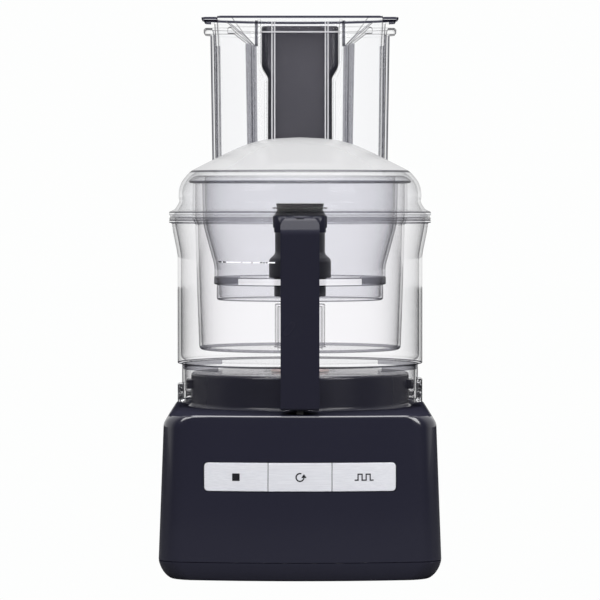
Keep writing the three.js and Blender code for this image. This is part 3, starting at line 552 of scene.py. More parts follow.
def housing_ring(z, inset=0.0, shoulder=0.0, brow=0.0):
    rise = (z - SEAM) / (BASE_TOP - SEAM)
    half = BASE_HALF - TAPER * rise - inset - shoulder
    front = BASE_FRONT - TAPER * rise - inset - brow
    return level(base_plan(half, front, BASE_BACK - BACK_TAPER * rise - inset - brow), z)


def housing_skin(steps=14):
    """The outer form, round by SHOULDER at the top of the sides and by BROW at the front and back."""
    rings = [housing_ring(SEAM, 0.2), housing_ring(SEAM + 0.2, 0.0)]
    rings += [housing_ring(SEAM + (BASE_TOP - SHOULDER - SEAM) * k / 4) for k in range(1, 4)]
    for k in range(steps + 1):
        angle = 90 * k / steps * DEGREE
        z = BASE_TOP - SHOULDER * (1 - math.sin(angle))
        climb = max(0.0, z - (BASE_TOP - BROW))
        brow = BROW - math.sqrt(max(0.0, BROW ** 2 - climb ** 2))
        rings.append(housing_ring(z, 0.0, SHOULDER * (1 - math.cos(angle)), brow))
    return loft("housing_shell", rings)


def panel_outline(grow):
    x, low, high, corner = PANEL_HALF + grow, PANEL_LOW - grow, PANEL_HIGH + grow, PANEL_CORNER + grow
    return fillet(oblong(-x, x, low, high, corner), 6)


def four(x, y):
    """Front left, front right, back right and back left."""
    return [p[:2] for p in oblong(-x, x, -y, y)]


def build_housing():
    shell = housing_skin()
    drum = turned("drum", [
        (0, 115), (88.0, 115), (88.0, 123.3), (84.4, 124.4, 2.4), (84.2, 150, 2.6), (30, DRUM_TOP),
        (27.5, 149.6), (0, 149.6),
    ])
    lugs = [sector("lug", 83.4, 88.2, angle, 8, 137, 144) for angle in (0, 180)]
    for lug in lugs:
        bevel(lug, 0.8)
    join(shell, drum, *lugs)
    cavity = loft("cavity", [
        housing_ring(SEAM - 1, WALL), housing_ring(BASE_TOP - SHOULDER, WALL),
        housing_ring(BASE_TOP - 5, WALL, 2), housing_ring(BASE_TOP - WALL, WALL, 6),
    ])
    room = turned("room", [(0, 110), (81.6, 110), (81.6, 147.4), (0, 147.4)])
    cut(
        shell, cavity, room,
        inwards("slot", panel_outline(0.5), -140, -121),
        post("shaft_hole", 9.5, 0, 0, 140, 155),
        post("plunger_hole", 3.6, 0, -121.5, 115, 130),
    )
    gland_hole = post("gland_hole", 7.3, GLAND_X, 0, 0, 20)
    gland_hole.data.transform(turn_to_y(120, GLAND_Z))
    finishes = [NAVY, NAVY_SHADED, NAVY_DRUM, TRAY_NAVY]
    place(cut(shell, gland_hole), "base", finishes, ["housing"])
    # Painted shade: the unreflecting copy of the navy on the deck under the bowl and along the seam.
    paint(shell, 1, lambda c, n: n.z > 0.8 and 110 < c.z < 140)
    paint(shell, 1, lambda c, n: c.z < SEAM + 0.9)
    paint(shell, 2, lambda c, n: c.z > BASE_TOP + 0.5 and reach(c) < 90)
    paint(shell, 3, lambda c, n: c.z > DRUM_TOP - 1.6 and n.z > 0.6)


FRONT_TUCK = 0.35  # the share of the tray's tuck that its front has


def tray_ring(z, tuck, wall=0.0):
    inset = tuck + wall
    return level(base_plan(BASE_HALF - inset, BASE_FRONT - FRONT_TUCK * tuck - wall, BASE_BACK - inset), z)


def build_tray():
    tucks = [
        (0.6, 9.0), (1.0, 8.1), (2.0, 6.7), (3.4, 5.2), (5.2, 3.7), (7.4, 2.3), (10.0, 1.1), (12.4, 0.35),
        (13.6, 0.1), (14.0, 0.3),
    ]
    tray = loft("base_tray", [tray_ring(z, tuck) for z, tuck in tucks])
    hollow = loft("hollow", [tray_ring(4.5, 5, 3), tray_ring(8, 1.8, 3), tray_ring(15, 0.1, 3)])
    slots = [
        prism("vent", fillet(oblong(x - 3, x + 3, -45, 45, 3)), 0, 6)
        for x in (-50, -30, -10, 10, 30, 50)
    ]
    recesses = [post("recess", 9.3, x, y, 0, 3.2) for x, y in four(FOOT_X, FOOT_Y)]
    heads = [post("head", 3.9, x, y, 0, 3.7) for x, y in four(SCREW_XY, SCREW_XY)]
    shanks = [post("shank", 2.2, x, y, 0, 10) for x, y in four(SCREW_XY, SCREW_XY)]
    cut(tray, hollow)
    cut(tray, *slots, *recesses, *heads, *shanks)
    place(tray, "base", [TRAY_NAVY, NAVY_SHADED], ["base_plate"])
    # Painted shade: the unreflecting copy of the navy along the seam.
    paint(tray, 1, lambda c, n: c.z > 13.5)


def build_feet():
    nodes = ["foot_front_left", "foot_front_right", "foot_back_right", "foot_back_left"]
    for node, (x, y) in zip(nodes, four(FOOT_X, FOOT_Y)):
        foot = turned(node + "_pad", [
            (0, 0), (4, 0), (4.4, 0.3), (5.6, 0.3), (6, 0), (9, 0, 0.8), (8.8, 2.9, 0.3), (0, 2.9),
        ], 48)
        shift(foot, x, y)
        place(foot, "base", [RUBBER], [node])


def build_gland():
    gland = turned("gland", [
        (3.6, -8), (7, -8), (7, 0), (10.5, 0, 0.3), (10.3, 0.9, 0.4), (9.0, 1.4, 0.4), (4.2, 1.4, 0.3),
        (3.6, 0.9),
    ], 64)
    gland.data.transform(turn_to_y(131.6, GLAND_Z))
    shift(gland, GLAND_X, 0)
    place(gland, "base", [RUBBER], ["cord_gland"])


def build_seal():
    seal = turned("seal_ring", [
        (7, 150.3), (22.5, 150.3), (22.5, 151.4, 0.5), (20.5, 152.4, 0.5), (17, 152.2, 0.6), (12, 151.4, 1),
        (8.2, 152.3, 0.6), (7, 152.2),
    ], 96)
    place(seal, "base", [SEAL], ["shaft_seal"])


PANEL_FRONT = BASE_FRONT - TAPER * ((PANEL_LOW + PANEL_HIGH) / 2 - SEAM) / (BASE_TOP - SEAM)
KEY_COUNT, KEY_STEPS, KEY_DEPTH, KEY_GAP, STEM_HALF = 3, 16, 3, 0.5, 4
PRINT_PROUD, PRINT_SUNK = 0.1, 0.3


def front_at(x):
    """Y of the keys' faces, which follow the bulging front."""
    return -PANEL_FRONT + x * x / (2 * BOW)


def build_button(index, body, node):
    """One key, with a stem to its switch. Gives the X of its middle."""
    width = 2 * PANEL_HALF / KEY_COUNT
    left = -PANEL_HALF + index * width + (KEY_GAP / 2 if index > 0 else 0)
    right = -PANEL_HALF + (index + 1) * width - (KEY_GAP / 2 if index < KEY_COUNT - 1 else 0)
    xs = [left + (right - left) * k / KEY_STEPS for k in range(KEY_STEPS + 1)]
    outline = [(x, front_at(x)) for x in xs] + [(x, front_at(x) + KEY_DEPTH) for x in reversed(xs)]
    cap = prism(node + "_cap", outline, PANEL_LOW, PANEL_HIGH)
    boolean(cap, "INTERSECT", inwards("frame", panel_outline(0), -140, -110))
    bevel(cap, 0.35, 3, 50)
    middle = (left + right) / 2
    stem_outline = fillet(oblong(middle - STEM_HALF, middle + STEM_HALF, 73.7, 81.7, 0.5))
    stem = inwards("stem", stem_outline, front_at(middle) + KEY_DEPTH / 2, -117.2)
    place(join(cap, stem), body, [BRUSHED], [node])
    return middle


def printed(name, outlines, middle, body):
    """A thin printed mark on a key's face, from outlines in X and Z round the key's middle."""
    verts, faces = [], []
    for outline in outlines:
        rings = [
            [(middle + p[0], front_at(middle + p[0]) - lift, PANEL_MIDDLE + p[1]) for p in outline]
            for lift in (PRINT_PROUD, -PRINT_SUNK)
        ]
        new_verts, new_faces = skin(rings)
        faces += [tuple(i + len(verts) for i in face) for face in new_faces]
        verts += new_verts
    place(make(name, verts, faces), body, [INK])


def stroke(points, width):
    """A band of even width along a line of points."""
    left, right = [], []
    for i, p in enumerate(points):
        before = Vector(points[max(0, i - 1)])
        after = Vector(points[min(len(points) - 1, i + 1)])
        along = (after - before).normalized()
        side = Vector((-along.y, along.x)) * width / 2
        left.append(Vector(p) + side)
        right.append(Vector(p) - side)
    return left + right[::-1]


def turning_arrow(radius=2.9, width=1.0):
    turn = [(radius * math.cos(a * DEGREE), radius * math.sin(a * DEGREE)) for a in range(70, 351, 10)]
    head = [(0.9, -0.4), (4.9, -0.4), (2.9, 2.5)]
    return [stroke(turn[k:k + 2], width) for k in range(len(turn) - 1)] + [head]


def pulse_wave(step=3, high=2.2, half=0.45):
    """Two square pulses of level and upright bars, in turn from left to right."""
    xs = [(k - 2.5) * step for k in range(6)]
    bars = []
    for k, (a, b) in enumerate(zip(xs, xs[1:])):
        z = high if k % 2 else -high
        bars.append(oblong(a + half, b - half, z - half, z + half))
        bars.append(oblong(b - half, b + half, -high - half, high + half))
    return bars[:-1]


def build_buttons():
    stop = build_button(0, "stop_key", "stop_button")
    auto = build_button(1, "auto_key", "auto_button")
    pulse = build_button(2, "pulse_key", "pulse_button")
    printed("stop_mark", [fillet(oblong(-2.8, 2.8, -2.8, 2.8, 0.5))], stop, "stop_key")
    printed("auto_mark", turning_arrow(), auto, "auto_key")
    printed("pulse_mark", pulse_wave(), pulse, "pulse_key")


# -------- bowls

def build_main_bowl():
    bowl = turned("outer_bowl", [
        (89.1, 126.5), (91.3, 126.5, 0.4), (91.3, 152.6), (91.3, 156.7, 0.8), (94.7, 156.7, 0.9),
        (94.7, 241, 4), (98.2, 258, 6), (99.3, 265.0, 0.6), (101.3, 265.2, 0.8), (101.3, 267.0, 0.4),
        (100.5, 267.3, 0.3), (101.2, 267.7, 0.4), (101.0, 269.3, 0.8), (96.8, 269.3, 0.4), (96.8, 265.2, 3),
        (92.2, 241, 4), (92.2, 161.7, 2.4), (89.7, 159.2, 2.4), (13.5, 159.2, 2), (11.5, 162.7, 1.5),
        (10.9, 236, 0.6), (8.5, 236, 0.6), (8.5, 156.7), (89.1, 156.7, 0.5),
    ])
    catches = [sector("catch", 85.2, 90.1, angle, 8, 130.5, 135.5) for angle in (0, 180)]
    cheeks = [sector("cheek", 90.1, 94.7, angle, 9, 127, top) for angle, top in ((0, 145), (180, 141))]
    for lump in catches + cheeks:
        bevel(lump, 0.6)
    join(bowl, *catches, *cheeks)
    finishes = [CLEAR, CLEAR_OUT, CLEAR_FLAT, CLEAR_RIM, REFRACTING, CLEAR_SIDE, CLEAR_LINE]
    place(bowl, "bowl", finishes, ["main_bowl", "bowl_skirt"])
    paint(bowl, 1, lambda c, n: outwards(c, n) > 0 and reach(c) > 90)
    paint(bowl, 2, lambda c, n: is_level(n))
    paint(bowl, 3, lambda c, n: is_slanted(n) and c.z > 264.6 and reach(c) > 98.8)
    paint(bowl, 6, lambda c, n: 155.5 < c.z < 158 and reach(c) > 91 and abs(n.z) < LEVEL)
    paint(bowl, 5, lambda c, n: 152.6 < c.z < 156 and reach(c) > 91 and 62 < abs(c.x) < 90)
    paint(bowl, 4, lambda c, n: c.z < 146 and abs(c.y) < 15.2 and (reach(c) < 88.9 or reach(c) > 91.5))


def build_midi_bowl():
    bowl = turned("middle_bowl", [
        (17.4, 167), (70, 167, 0.3), (78, 167, 5), (78.2, 175, 2), (80.2, 232, 4), (81, 264, 0.8),
        (83, 268, 1), (83, 269.6, 0.5), (98.4, 269.6, 0.3), (98.4, 270.8, 0.3), (83.2, 270.8, 0.5),
        (83, 295.6, 0.6), (81, 295.6, 0.6), (81, 268, 1), (79, 264, 0.8), (78.2, 232, 4), (76.2, 175, 2),
        (76, 169, 4), (70, 169, 0.4), (19.4, 169, 1.5), (19.4, 202.5, 0.8), (12.6, 202.5, 0.3),
        (12.6, 200.5, 0.3), (17.4, 200.5, 0.4),
    ])
    place(bowl, "midi", [CLEAR, CLEAR_OUT, CLEAR_FLAT, CLEAR_RIM, CLEAR_SIDE], ["midi_bowl"])
    paint(bowl, 1, lambda c, n: outwards(c, n) > 0 and reach(c) > 70)
    paint(bowl, 2, lambda c, n: is_level(n))
    paint(bowl, 3, lambda c, n: 200 < c.z < 203 and is_slanted(n))
    paint(bowl, 4, lambda c, n: 167.05 < c.z < 169.4 and is_slanted(n, 0.25) and outwards(c, n) > 0)


RIDGE_BEND = 46  # further out than this, the photo shows the ridge dark


def build_mini_bowl():
    bowl = turned("inner_bowl", [
        (13.3, 205.5), (62.9, 205.5, 0.5), (64.4, 206.4, 0.8), (64.4, 217.5, 0.3), (66.5, 217.9, 0.5),
        (66.5, 219.2), (66.5, 222.2), (66.5, 223, 0.4), (66.2, 223.6, 0.3), (66.2, 232, 3), (75, 264, 5),
        (75.7, 295.9, 0.5), (85.4, 295.9, 0.8), (86, 297.6, 0.8), (83, 300.3, 1), (78.7, 301.8, 1),
        (73.7, 300.8, 1), (73, 264, 5), (64.2, 232, 3), (64.2, 223, 1), (62.4, 215.5, 1), (62.4, 208.5, 1),
        (61.4, 207.5, 1), (15.3, 207.5, 1), (15.3, 236, 0.5), (13.3, 236, 0.5),
    ])
    finishes = [CLEAR_INNER, CLEAR_FLAT, CLEAR_SIDE, CLEAR_RIDGE, CLEAR_RIM]
    place(bowl, "mini", finishes, ["mini_bowl"])
    paint(bowl, 1, lambda c, n: is_level(n))
    paint(bowl, 2, lambda c, n: outwards(c, n) > 0 and (
        217 < c.z < 218.1 or 222.8 < c.z < 223.7 or c.z < 206.6 and abs(n.z) < LEVEL))
    paint(bowl, 2, lambda c, n: 295.8 < c.z < 297.7 and reach(c) > 77)
    paint(bowl, 3, lambda c, n: outwards(c, n) > 0 and 218.1 < c.z < 222.8 and abs(c.x) < RIDGE_BEND)
    paint(bowl, 4, lambda c, n: outwards(c, n) > 0 and 218.1 < c.z < 223.7 and abs(c.x) > RIDGE_BEND)


LINE_Z, LINE_RADIUS, LINE_HEIGHT, LINE_THICKNESS = 234.9, 67.0, 0.9, 0.06


def level_strip(name, radius, from_x, to_x, material, steps=24):
    """A printed strip round the front of the mini bowl, between two places across it."""
    angles = [math.asin(x / radius) for x in (from_x, to_x)]
    outer, top = radius + LINE_THICKNESS, LINE_Z + LINE_HEIGHT
    rings = []
    for k in range(steps + 1):
        a = angles[0] + (angles[1] - angles[0]) * k / steps
        rings.append([
            (r * math.sin(a), -r * math.cos(a), z)
            for r, z in ((radius, LINE_Z), (outer, LINE_Z), (outer, top), (radius, top))
        ])
    place(loft(name, rings), "mini", [material])


def build_level_line():
    level_strip("level_line", LINE_RADIUS, -61.0, -19.0, GLOWING_WHITE_PRINT)
    marks = [
        (-62.5, -60), (-59, -56.5), (-44.5, -43.8), (-36.8, -36), (-30.2, -28.6), (-27.9, -26.6),
        (-25.9, -24.6),
    ]
    for index, (start, end) in enumerate(marks):
        level_strip(f"level_tick_{index + 1}", LINE_RADIUS + 0.1, start, end, INK)


# -------- handle

GRIP_HALF, CHANNEL_HALF = 14.4, 3
RIM_ROOM = 101.7  # the radius that stays free for the main bowl's rim


def build_handle():
    side = fillet([
        (-129.4, 127, 2.2), (-91.8, 127, 0.6), (-91.8, 151, 0.6), (-106, 151, 2), (-114, 151.5, 7),
        (-114, 160, 6), (-114, 246, 8), (-113.5, 256, 8), (-106, 257.8, 4), (-101.8, 258, 0.3),
        (-101.8, 271, 0.3), (-116, 271, 5), (-124.5, 269.9, 3), (-130, 259, 2.5), (-130, 200),
    ], 9)
    grip = across("handle_grip", side, -GRIP_HALF, GRIP_HALF)
    face = inwards("handle_face", fillet([
        (-14.6, 120), (14.6, 120), (14.6, 264.5, 2), (11.2, 269.8, 4), (0, 271.4, 9), (-11.2, 269.8, 4),
        (-14.6, 264.5, 2),
    ], 8), -132, -90)
    boolean(grip, "INTERSECT", face)
    bevel(grip, 2.6, 5, 50)
    bracket = prism("bracket", fillet([
        (-19.3, -103.6, 0.8), (-19.3, -108, 1.5), (19.3, -108, 1.5), (19.3, -103.6, 0.8),
    ]), 258.6, 271)
    collar = sector("collar", 101.9, 106, -90, 11, 262, 271)
    bevel(collar, 0.5)
    join(grip, bracket, collar)
    cut(
        grip,
        *[
            across(name, oblong(front, back, low, high), -CHANNEL_HALF, CHANNEL_HALF)
            for name, front, back, low, high in (
                ("channel", -125, -119, 120, 269.2),
                ("arm_channel", -125, -102.5, 261.5, 269.2),
                ("nub_channel", -107.5, -102.5, 262, 275),
            )
        ],
        turned("rim_room", [(0, 250), (RIM_ROOM, 250), (RIM_ROOM, 275), (0, 275)]),
    )
    place(grip, "bowl", [HANDLE_NAVY], ["bowl_handle"])


# -------- blade

LOW_BLADE, HIGH_BLADE, BLADE_THICKNESS, SICKLE_STEPS = 212, 227, 1.6, 12


def build_blade():
    hub = turned("hub", [
        (16.2, 208.3), (20, 208.3, 0.5), (20, 222.6, 0.4), (24, 222.6, 0.8), (24, 237.0, 2.2),
        (19.3, 241, 2.2), (19.3, 263, 1), (20, 265, 1), (20, 271, 1), (17.3, 275.9, 1), (21.5, 276.2, 0.3),
        (21.5, 277, 0.3), (17.6, 277.2, 0.4), (18.7, 279.8, 0.5), (18.2, 280.1, 0.3), (0, 280.1), (0, 264),
        (6.5, 264), (6.5, 240), (16.2, 240),
    ], 96)
    cut(
        hub,
        prism("slot_low", oblong(-9.3, 9.3, -30, -17.6), LOW_BLADE - 0.3, LOW_BLADE + 1.9),
        prism("slot_high", oblong(-9.3, 9.3, 17.6, 30), HIGH_BLADE - 0.3, HIGH_BLADE + 1.9),
    )
    place(hub, "blade", [HUB_DARK], ["blade_hub"])
    front_root, back_root, tip = Vector((9, 26)), Vector((-9, 26)), Vector((1, 59))
    edge = [Vector((-9, 18)), Vector((9, 18)), front_root]
    for start, turn, end in ((front_root, Vector((14, 44)), tip), (tip, Vector((0, 42)), back_root)):
        edge += [curve(start, turn, end, k / SICKLE_STEPS) for k in range(1, SICKLE_STEPS + 1)]
    for name, node, z, side in (
        ("blade_low", "lower_blade", LOW_BLADE, -1), ("blade_high", "upper_blade", HIGH_BLADE, 1),
    ):
        blade = prism(name, [(p.x * side, p.y * side) for p in edge], z, z + BLADE_THICKNESS)
        bevel(blade, 0.5, 1, 40)
        place(blade, "blade", [STEEL], [node])


# -------- lid, feed tube and pushers

# The dome's corners (radius, height, cut), from the flange up to the middle, and inside from the middle down.
DOME = [
    (101.3, 271.1, 0.5), (101.3, 273.5, 0.8), (96.6, 275.8, 1.2), (93.2, 281.3, 2.0), (94.0, 285.3, 1.6),
    (93.6, 291.2, 2.4), (91.6, 297.1, 3), (84.9, 305.1, 4), (69.1, 313, 6), (57.2, 318.9, 5),
    (41.1, 326.2, 8), (24.8, 330, 8), (0, 331.3),
]
DOME_INSIDE = [
    (0, 328.9), (24.3, 327.6, 8), (40.2, 323.8, 8), (56.2, 316.5, 5), (68.2, 310.6, 6), (83.3, 303, 4),
    (89.3, 296.2, 3), (91.3, 289.8, 2.4), (90.9, 281, 2), (94.6, 274.4, 1.2), (98.7, 271.1, 0.3),
]


DOME_STEPS, FLANGE_TOP = 192, 272


def dome_height(radius):
    line = fillet([c for c in DOME if c[1] > FLANGE_TOP], 6, closed=False)
    for a, b in zip(line, line[1:]):
        if b.x <= radius <= a.x and a.x > b.x:
            return a.y + (b.y - a.y) * (a.x - radius) / (a.x - b.x)
    return line[-1].y


HOPPER_BAY, HOPPER_SIDE, HOPPER_LOBE, HOPPER_FRONT, HOPPER_BACK = 40, 68.4, 22, 3, 86


def hopper_plan(grow, bay=None, steps=24):
    """The feed tube from above, grown outwards: a front bay of half width bay, two lobes and a round back."""
    bay = HOPPER_BAY + grow if bay is None else bay
    side, lobe = HOPPER_SIDE + grow, HOPPER_LOBE - grow
    front, radius = HOPPER_FRONT - grow, HOPPER_BACK + grow
    end = math.acos(side / radius)
    angles = [end + (math.pi - 2 * end) * k / steps for k in range(steps + 1)]
    back = [(radius * math.cos(a), radius * math.sin(a)) for a in angles]
    return fillet([
        (-bay, front, 3), (bay, front, 3), (bay, lobe, 2), (side, lobe, 3), (*back[0], 6), *back[1:-1],
        (*back[-1], 6), (-side, lobe, 3), (-bay, lobe, 2),
    ], 4)


def hopper_ring(z, grow, bay=None, splits=None):
    """The hopper's plan at a height. splits, one count for each of its sides, adds points along them."""
    line = hopper_plan(grow, bay)
    if splits:
        sides = zip(line, line[1:] + line[:1], splits)
        line = [here.lerp(after, k / count) for here, after, count in sides for k in range(count)]
    return level(line, z)


def eased(rows, steps=4):
    """Rows of (height, grow, bay, cut) with a curve instead of the bend at each row that has a cut."""
    out = []
    for i, row in enumerate(rows):
        if i in (0, len(rows) - 1) or len(row) < 4:
            out.append(Vector(row[:3]))
            continue
        here = Vector(row[:3])
        before, after = Vector(rows[i - 1][:3]) - here, Vector(rows[i + 1][:3]) - here
        start = here + before * min(0.45, row[3] / max(before.length, 1e-6))
        end = here + after * min(0.45, row[3] / max(after.length, 1e-6))
        out += [curve(start, here, end, k / steps) for k in range(steps + 1)]
    return out


TUBE_WALL = 2.3
BAY_BACK = 28  # the front bay and its corners lie in front of this Y
TUBE_FLARE = 404  # the height from which the tube and the pusher widen


def build_lid():
    profile = DOME_INSIDE + [(99.0, 269.7, 0.3), (100.6, 269.7, 0.4), (100.6, 271.1)] + DOME
    lid = turned("dome", profile, DOME_STEPS, 6)
    tab = sector("tab", 100.3, 108, -90, 3, 271.1, 273.5)
    bevel(tab, 0.5)
    join(lid, tab)
    cut(lid, prism("mouth", hopper_plan(-TUBE_WALL), 250, 345))
    place(lid, "cover", [DOME_SHEEN, CLEAR_FLAT, CLEAR_RIM], ["lid"])
    paint(lid, 1, lambda c, n: is_level(n) and c.z < 280)
    paint(lid, 2, lambda c, n: c.z < 274 and reach(c) > 99.5 and is_slanted(n))
    paint(lid, 2, lambda c, n: 303.9 < c.z < 305.4 and outwards(c, n) > 0 and c.y < 0)


def build_feed_tube():
    outer = eased([
        (298, 0, 40), (404.2, 1.4, 41.4, 1.2), (411.6, 1.5, 51, 0.6), (411.9, 6.0, 55.8, 0.3),
        (412.5, 6.5, 56, 0.3), (415.4, 6.5, 56, 0.3), (416.6, 5.2, 55),
    ])
    inner = eased([
        (290, -TUBE_WALL, 37.7), (404.2, -0.9, 39.1, 1.2), (411.9, -0.7, 49, 0.6), (416.6, 0.2, 53.5),
    ])
    plan = hopper_plan(0)
    splits = [max(1, round((plan[(i + 1) % len(plan)] - p).length / 6)) for i, p in enumerate(plan)]
    rings = [hopper_ring(*row, splits) for row in outer + inner[::-1]]
    for end in (0, -1):
        rings[end] = [(x, y, dome_height(math.hypot(x, y))) for x, y, _ in rings[end]]
    tube = loft("hopper", rings, looped=True)
    place(tube, "cover", [CLEAR_TUBE, CLEAR_SIDE], ["feed_tube"])
    paint(tube, 1, lambda c, n: (
        is_corner(n) and c.y < BAY_BACK and c.z < (411 if abs(c.x) > 60 else TUBE_FLARE)))


def well_outline(half, wide, neck_bottom, neck_top, bottom, top):
    """The well for the small pusher in X and Z: narrow below its neck and wide above it."""
    return fillet([
        (-half, bottom), (half, bottom), (half, neck_bottom, 3), (wide, neck_top, 3), (wide, top),
        (-wide, top), (-wide, neck_top, 3), (-half, neck_bottom, 3),
    ])


BRIM_MIDDLE = Vector((0, 40, 0))
BRIM_BOTTOM, BRIM_STEP = 421.05, 423.1  # the brim is a plate with a wider plate on it


def build_large_pusher():
    outer = eased([
        (309, -4.2, 35.8), (309.7, -3.5, 36.5, 0.3), (403, -2.5, 37.3, 1.2), (411, -2.1, 45, 0.8),
        (421.0, -1.5, 57, 0.3), (421.2, 6.2, 62, 0.2), (423.0, 6.2, 62, 0.2), (423.2, 8.2, 64, 0.2),
        (424.6, 8.2, 64, 0.2), (425, 7.8, 63.6),
    ])
    inner = eased([(311, -5.5, 34.5), (403, -4.5, 35.3, 1.2), (411, -4.1, 43, 0.8), (426, -3.1, 54)])
    pusher = loft("wide_pusher", [hopper_ring(*row) for row in outer])
    cut(pusher, loft("hollow", [hopper_ring(*row) for row in inner]))
    well = inwards("well", well_outline(27.8, 32.8, 377.5, 386.4, 309, 423.2), 7.2, 44)
    well_inside = inwards("well_inside", well_outline(25.8, 30.8, 378.5, 387.4, 300, 432), 9.2, 42)
    ribs = [prism("rib", oblong(x - 1.2, x + 1.2, 9, 16), 402.5, 422) for x in (-33.8, 33.8)]
    join(pusher, well, *ribs)
    cut(pusher, well_inside)
    finishes = [CLEAR_TUBE, CLEAR_BRIM, CLEAR_SIDE, CLEAR_FLAT]
    place(pusher, "big_pusher", finishes, ["large_pusher"])
    paint(pusher, 2, lambda c, n: is_corner(n, 0.5) and c.z < 403 and abs(c.x) > 33 and c.y < BAY_BACK)
    paint(pusher, 2, lambda c, n: is_corner(n) and 403 < c.z < 421 and c.y < 6)
    paint(pusher, 2, lambda c, n: (
        402 < c.z < 422 and 32.4 < abs(c.x) < 35.1 and c.y < 16.2 and abs(n.y) > 0.5))
    paint(pusher, 3, lambda c, n: c.z > BRIM_BOTTOM)
    paint(pusher, 1, lambda c, n: abs(n.z) < 0.8 and (
        c.z > BRIM_STEP and outwards(c - BRIM_MIDDLE, n) > 0
        or BRIM_BOTTOM < c.z < BRIM_STEP and abs(c.x) > 64 and c.y < 60))
    build_rails()


def build_rails(depth=0.6, corner=0.2):
    """Rails and a bar inside the large pusher's front wall, in a clear with painted sheen and glow, for the
    light lines seen there.
    """
    wall = ((311, 6.7), (403, 5.1), (411, 4.65), (420.5, 4.1))
    for index, (x0, x1) in enumerate(((-22.3, -21.2), (-20.2, -19.1), (19.1, 20.2), (21.2, 22.3))):
        rings = [
            level(fillet(oblong(x0, x1, y, y + depth, corner), 3), z)
            for z, y in wall
        ]
        place(loft(f"pusher_rail_{index + 1}", rings), "big_pusher", [CLEAR_RIB])
    bar = inwards("pusher_bar", oblong(-29.4, 29.4, 412.4, 413.5), 4.5, 5.2)
    place(bar, "big_pusher", [CLEAR_RIB])


PLUG_MIDDLE = 25.6


def plug_ring(half, front, z, corner):
    return level(fillet(oblong(-half, half, front, 2 * PLUG_MIDDLE - front, corner), 6), z)


def build_small_pusher():
    """A plug from rows of (height, half width, front), open at the top."""
    outer = [
        (312, 24.2, 10.8), (312.8, 25, 10), (376.8, 25, 10), (378.6, 25.4, 10), (380.4, 26.3, 10),
        (385, 29, 10), (387, 29.8, 10), (389, 30, 10), (416.4, 30, 10), (417.4, 29.6, 10.2),
        (417.8, 28.9, 10.8),
    ]
    inner = [
        (417.7, 28.0, 12), (389, 28, 12), (387, 27.8, 12), (385, 27, 12), (380.4, 24.3, 12),
        (378.6, 23.4, 12), (376.8, 23, 12), (314, 23, 12),
    ]
    rings = [plug_ring(half, front, z, 7) for z, half, front in outer]
    rings += [plug_ring(half, front, z, 5.5) for z, half, front in inner]
    plug = loft("narrow_pusher", rings)
    place(plug, "inner_pusher", [SMOKE, SMOKE_SHADED_SIDE], ["small_pusher"])
    # Painted shade on the plug's sides.
    paint(plug, 1, lambda c, n: abs(n.x) > 0.12 and abs(c.x) > 17)


# -------- shaft and the carried-over CAD nodes

def build_spindle():
    spindle = turned("spindle", [
        (0, 7), (8, 7, 0.8), (8, 121, 0.6), (6, 121, 0.3), (6, 260.5, 0.4), (4.5, 262, 0.5), (0, 262),
    ], 64)
    flats = [prism("flat", oblong(-10, 10, y0, y1), 244, 270) for y0, y1 in ((4.6, 10), (-10, -4.6))]
    place(cut(spindle, *flats), "drive", [STEEL], ["drive_shaft"])


def dress_cad_nodes():
    """Materials for the CAD nodes that no piece replaces, by how their names start."""
    finishes = {
        SHEET_STACK: ("rotor", "motor_stator"), WIRE: ("upper_winding", "lower_winding"),
        CAST: ("upper_end_bell", "lower_end_bell"), CAN: ("run_capacitor",), PCB: ("control_board",),
        STEEL: ("upper_bearing", "lower_bearing", "interlock_spring", "motor_bolt", "base_screw"),
        DARK: ("cooling_fan", "button_frame", "stop_switch", "auto_switch", "pulse_switch",
               "interlock_switch", "interlock_plunger", "interlock_rod"),
    }
    for material, starts in finishes.items():
        for name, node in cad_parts.items():
            if name.startswith(starts):
                node.data.materials.clear()
                node.data.materials.append(material)


# -------- studio

BACKDROP = (0.985, 0.99, 0.987, 1)
FLOOR_RADIUS = 9000
FLOOR_Z = -0.00002  # metres
AIM = Vector((0, 0, 0.2))  # metres
# Each light's name, place and size in metres, and power in watts.
LIGHTS = (
    ("key", (-1.7, -1.9, 1.5), (1.4, 1.4), 42),
    ("fill", (1.7, -1.9, 1.2), (1.2, 1.4), 42),
    ("top", (0, -0.55, 1.9), (1.6, 1.5), 52),
)
CAMERA_PLACE = (0, -2.8, 0.2824)  # metres
CAMERA_PITCH = 90 - 1.576
CAMERA_LENS, CAMERA_SENSOR = 217, 36


def build_floor():
    """Even white to the camera, and dim to the light that it would throw up at the base."""
    n = blank("pale_floor")
    white = n.blend(n.noise(3, 4), BACKDROP, tuple(c * 0.998 for c in BACKDROP[:3]) + (1,))
    bright = n.add("Emission", {"Color": white, "Strength": 1.0})
    dark = n.blend(n.noise(3, 4), (0.06, 0.06, 0.065, 1), (0.07, 0.07, 0.075, 1))
    dim = n.add("BsdfDiffuse", {"Color": dark})
    seen = n.add("LightPath").outputs["Is Camera Ray"]
    lit = n.add("MixShader", {"Fac": seen, 1: dim.outputs[0], 2: bright.outputs[0]})
    outline = circle(FLOOR_RADIUS, 96)
    floor = make("floor", level(outline, -0.05), [tuple(range(len(outline)))])
    for vertex in floor.data.vertices:
        vertex.co.z = FLOOR_Z
    floor.data.materials.append(n.finish(lit.outputs[0]))


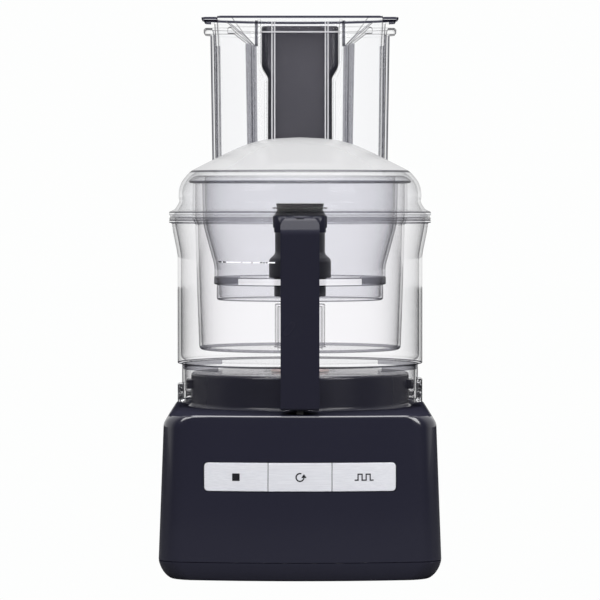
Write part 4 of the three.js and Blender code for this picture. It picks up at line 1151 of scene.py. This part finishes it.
def build_world():
    """The plain backdrop for the camera, and soft gradients for all other rays."""
    world = bpy.data.worlds.new("studio")
    bpy.context.scene.world = world
    n = Nodes(world, "OutputWorld")
    split = n.add("SeparateXYZ", {0: n.add("TexCoord").outputs["Generated"]})
    y, z = split.outputs["Y"], split.outputs["Z"]

    def gradient(back, up):
        """Light that grows towards the back and upwards, from two rows of (low, high, start, end)."""
        rows = ((y, back), (z, up))
        parts = [n.span(axis, *row, interpolation_type="SMOOTHSTEP") for axis, row in rows]
        return n.add("Background", {"Strength": n.math("ADD", *parts)}).outputs[0]

    soft = gradient((0.12, 0.4, -0.6, 0.9), (0.0, 0.5, 0.15, 0.95))
    mirrored = gradient((0.03, 0.95, -0.35, 0.25), (0.0, 0.4, 0.2, 0.8))
    plain = n.add("Background", {"Color": BACKDROP}).outputs[0]
    path = n.add("LightPath")
    unseen = n.add("MixShader", {0: path.outputs["Is Glossy Ray"], 1: soft, 2: mirrored}).outputs[0]
    n.finish(n.add("MixShader", {0: path.outputs["Is Camera Ray"], 1: unseen, 2: plain}).outputs[0])


def build_lights():
    for name, where, size, power in LIGHTS:
        light = bpy.data.lights.new(name, "AREA")
        light.shape = "RECTANGLE"
        light.size, light.size_y = size
        light.energy = power
        lamp = bpy.data.objects.new(name, light)
        lamp.location = where
        lamp.rotation_euler = (AIM - Vector(where)).to_track_quat("-Z", "Y").to_euler()
        lamp.visible_camera = False
        bpy.context.scene.collection.objects.link(lamp)


def build_camera():
    data = bpy.data.cameras.new("camera")
    data.sensor_width = CAMERA_SENSOR
    data.lens = CAMERA_LENS
    camera = bpy.data.objects.new("camera", data)
    camera.location = CAMERA_PLACE
    camera.rotation_euler = (CAMERA_PITCH * DEGREE, 0, 0)
    bpy.context.scene.collection.objects.link(camera)
    bpy.context.scene.camera = camera


for build in (
    build_housing, build_tray, build_feet, build_gland, build_seal, build_buttons, build_main_bowl,
    build_midi_bowl, build_mini_bowl, build_level_line, build_handle, build_blade, build_lid, build_feed_tube,
    build_large_pusher, build_small_pusher, build_spindle, dress_cad_nodes,
    build_floor, build_world, build_lights, build_camera,
):
    build()

TRANSPARENT_BOUNCES, BOUNCES = 64, 12  # enough for a ray through every nested wall

scene = bpy.context.scene
scene.view_settings.view_transform = "Standard"
scene.cycles.transparent_max_bounces = TRANSPARENT_BOUNCES
scene.cycles.max_bounces = BOUNCES
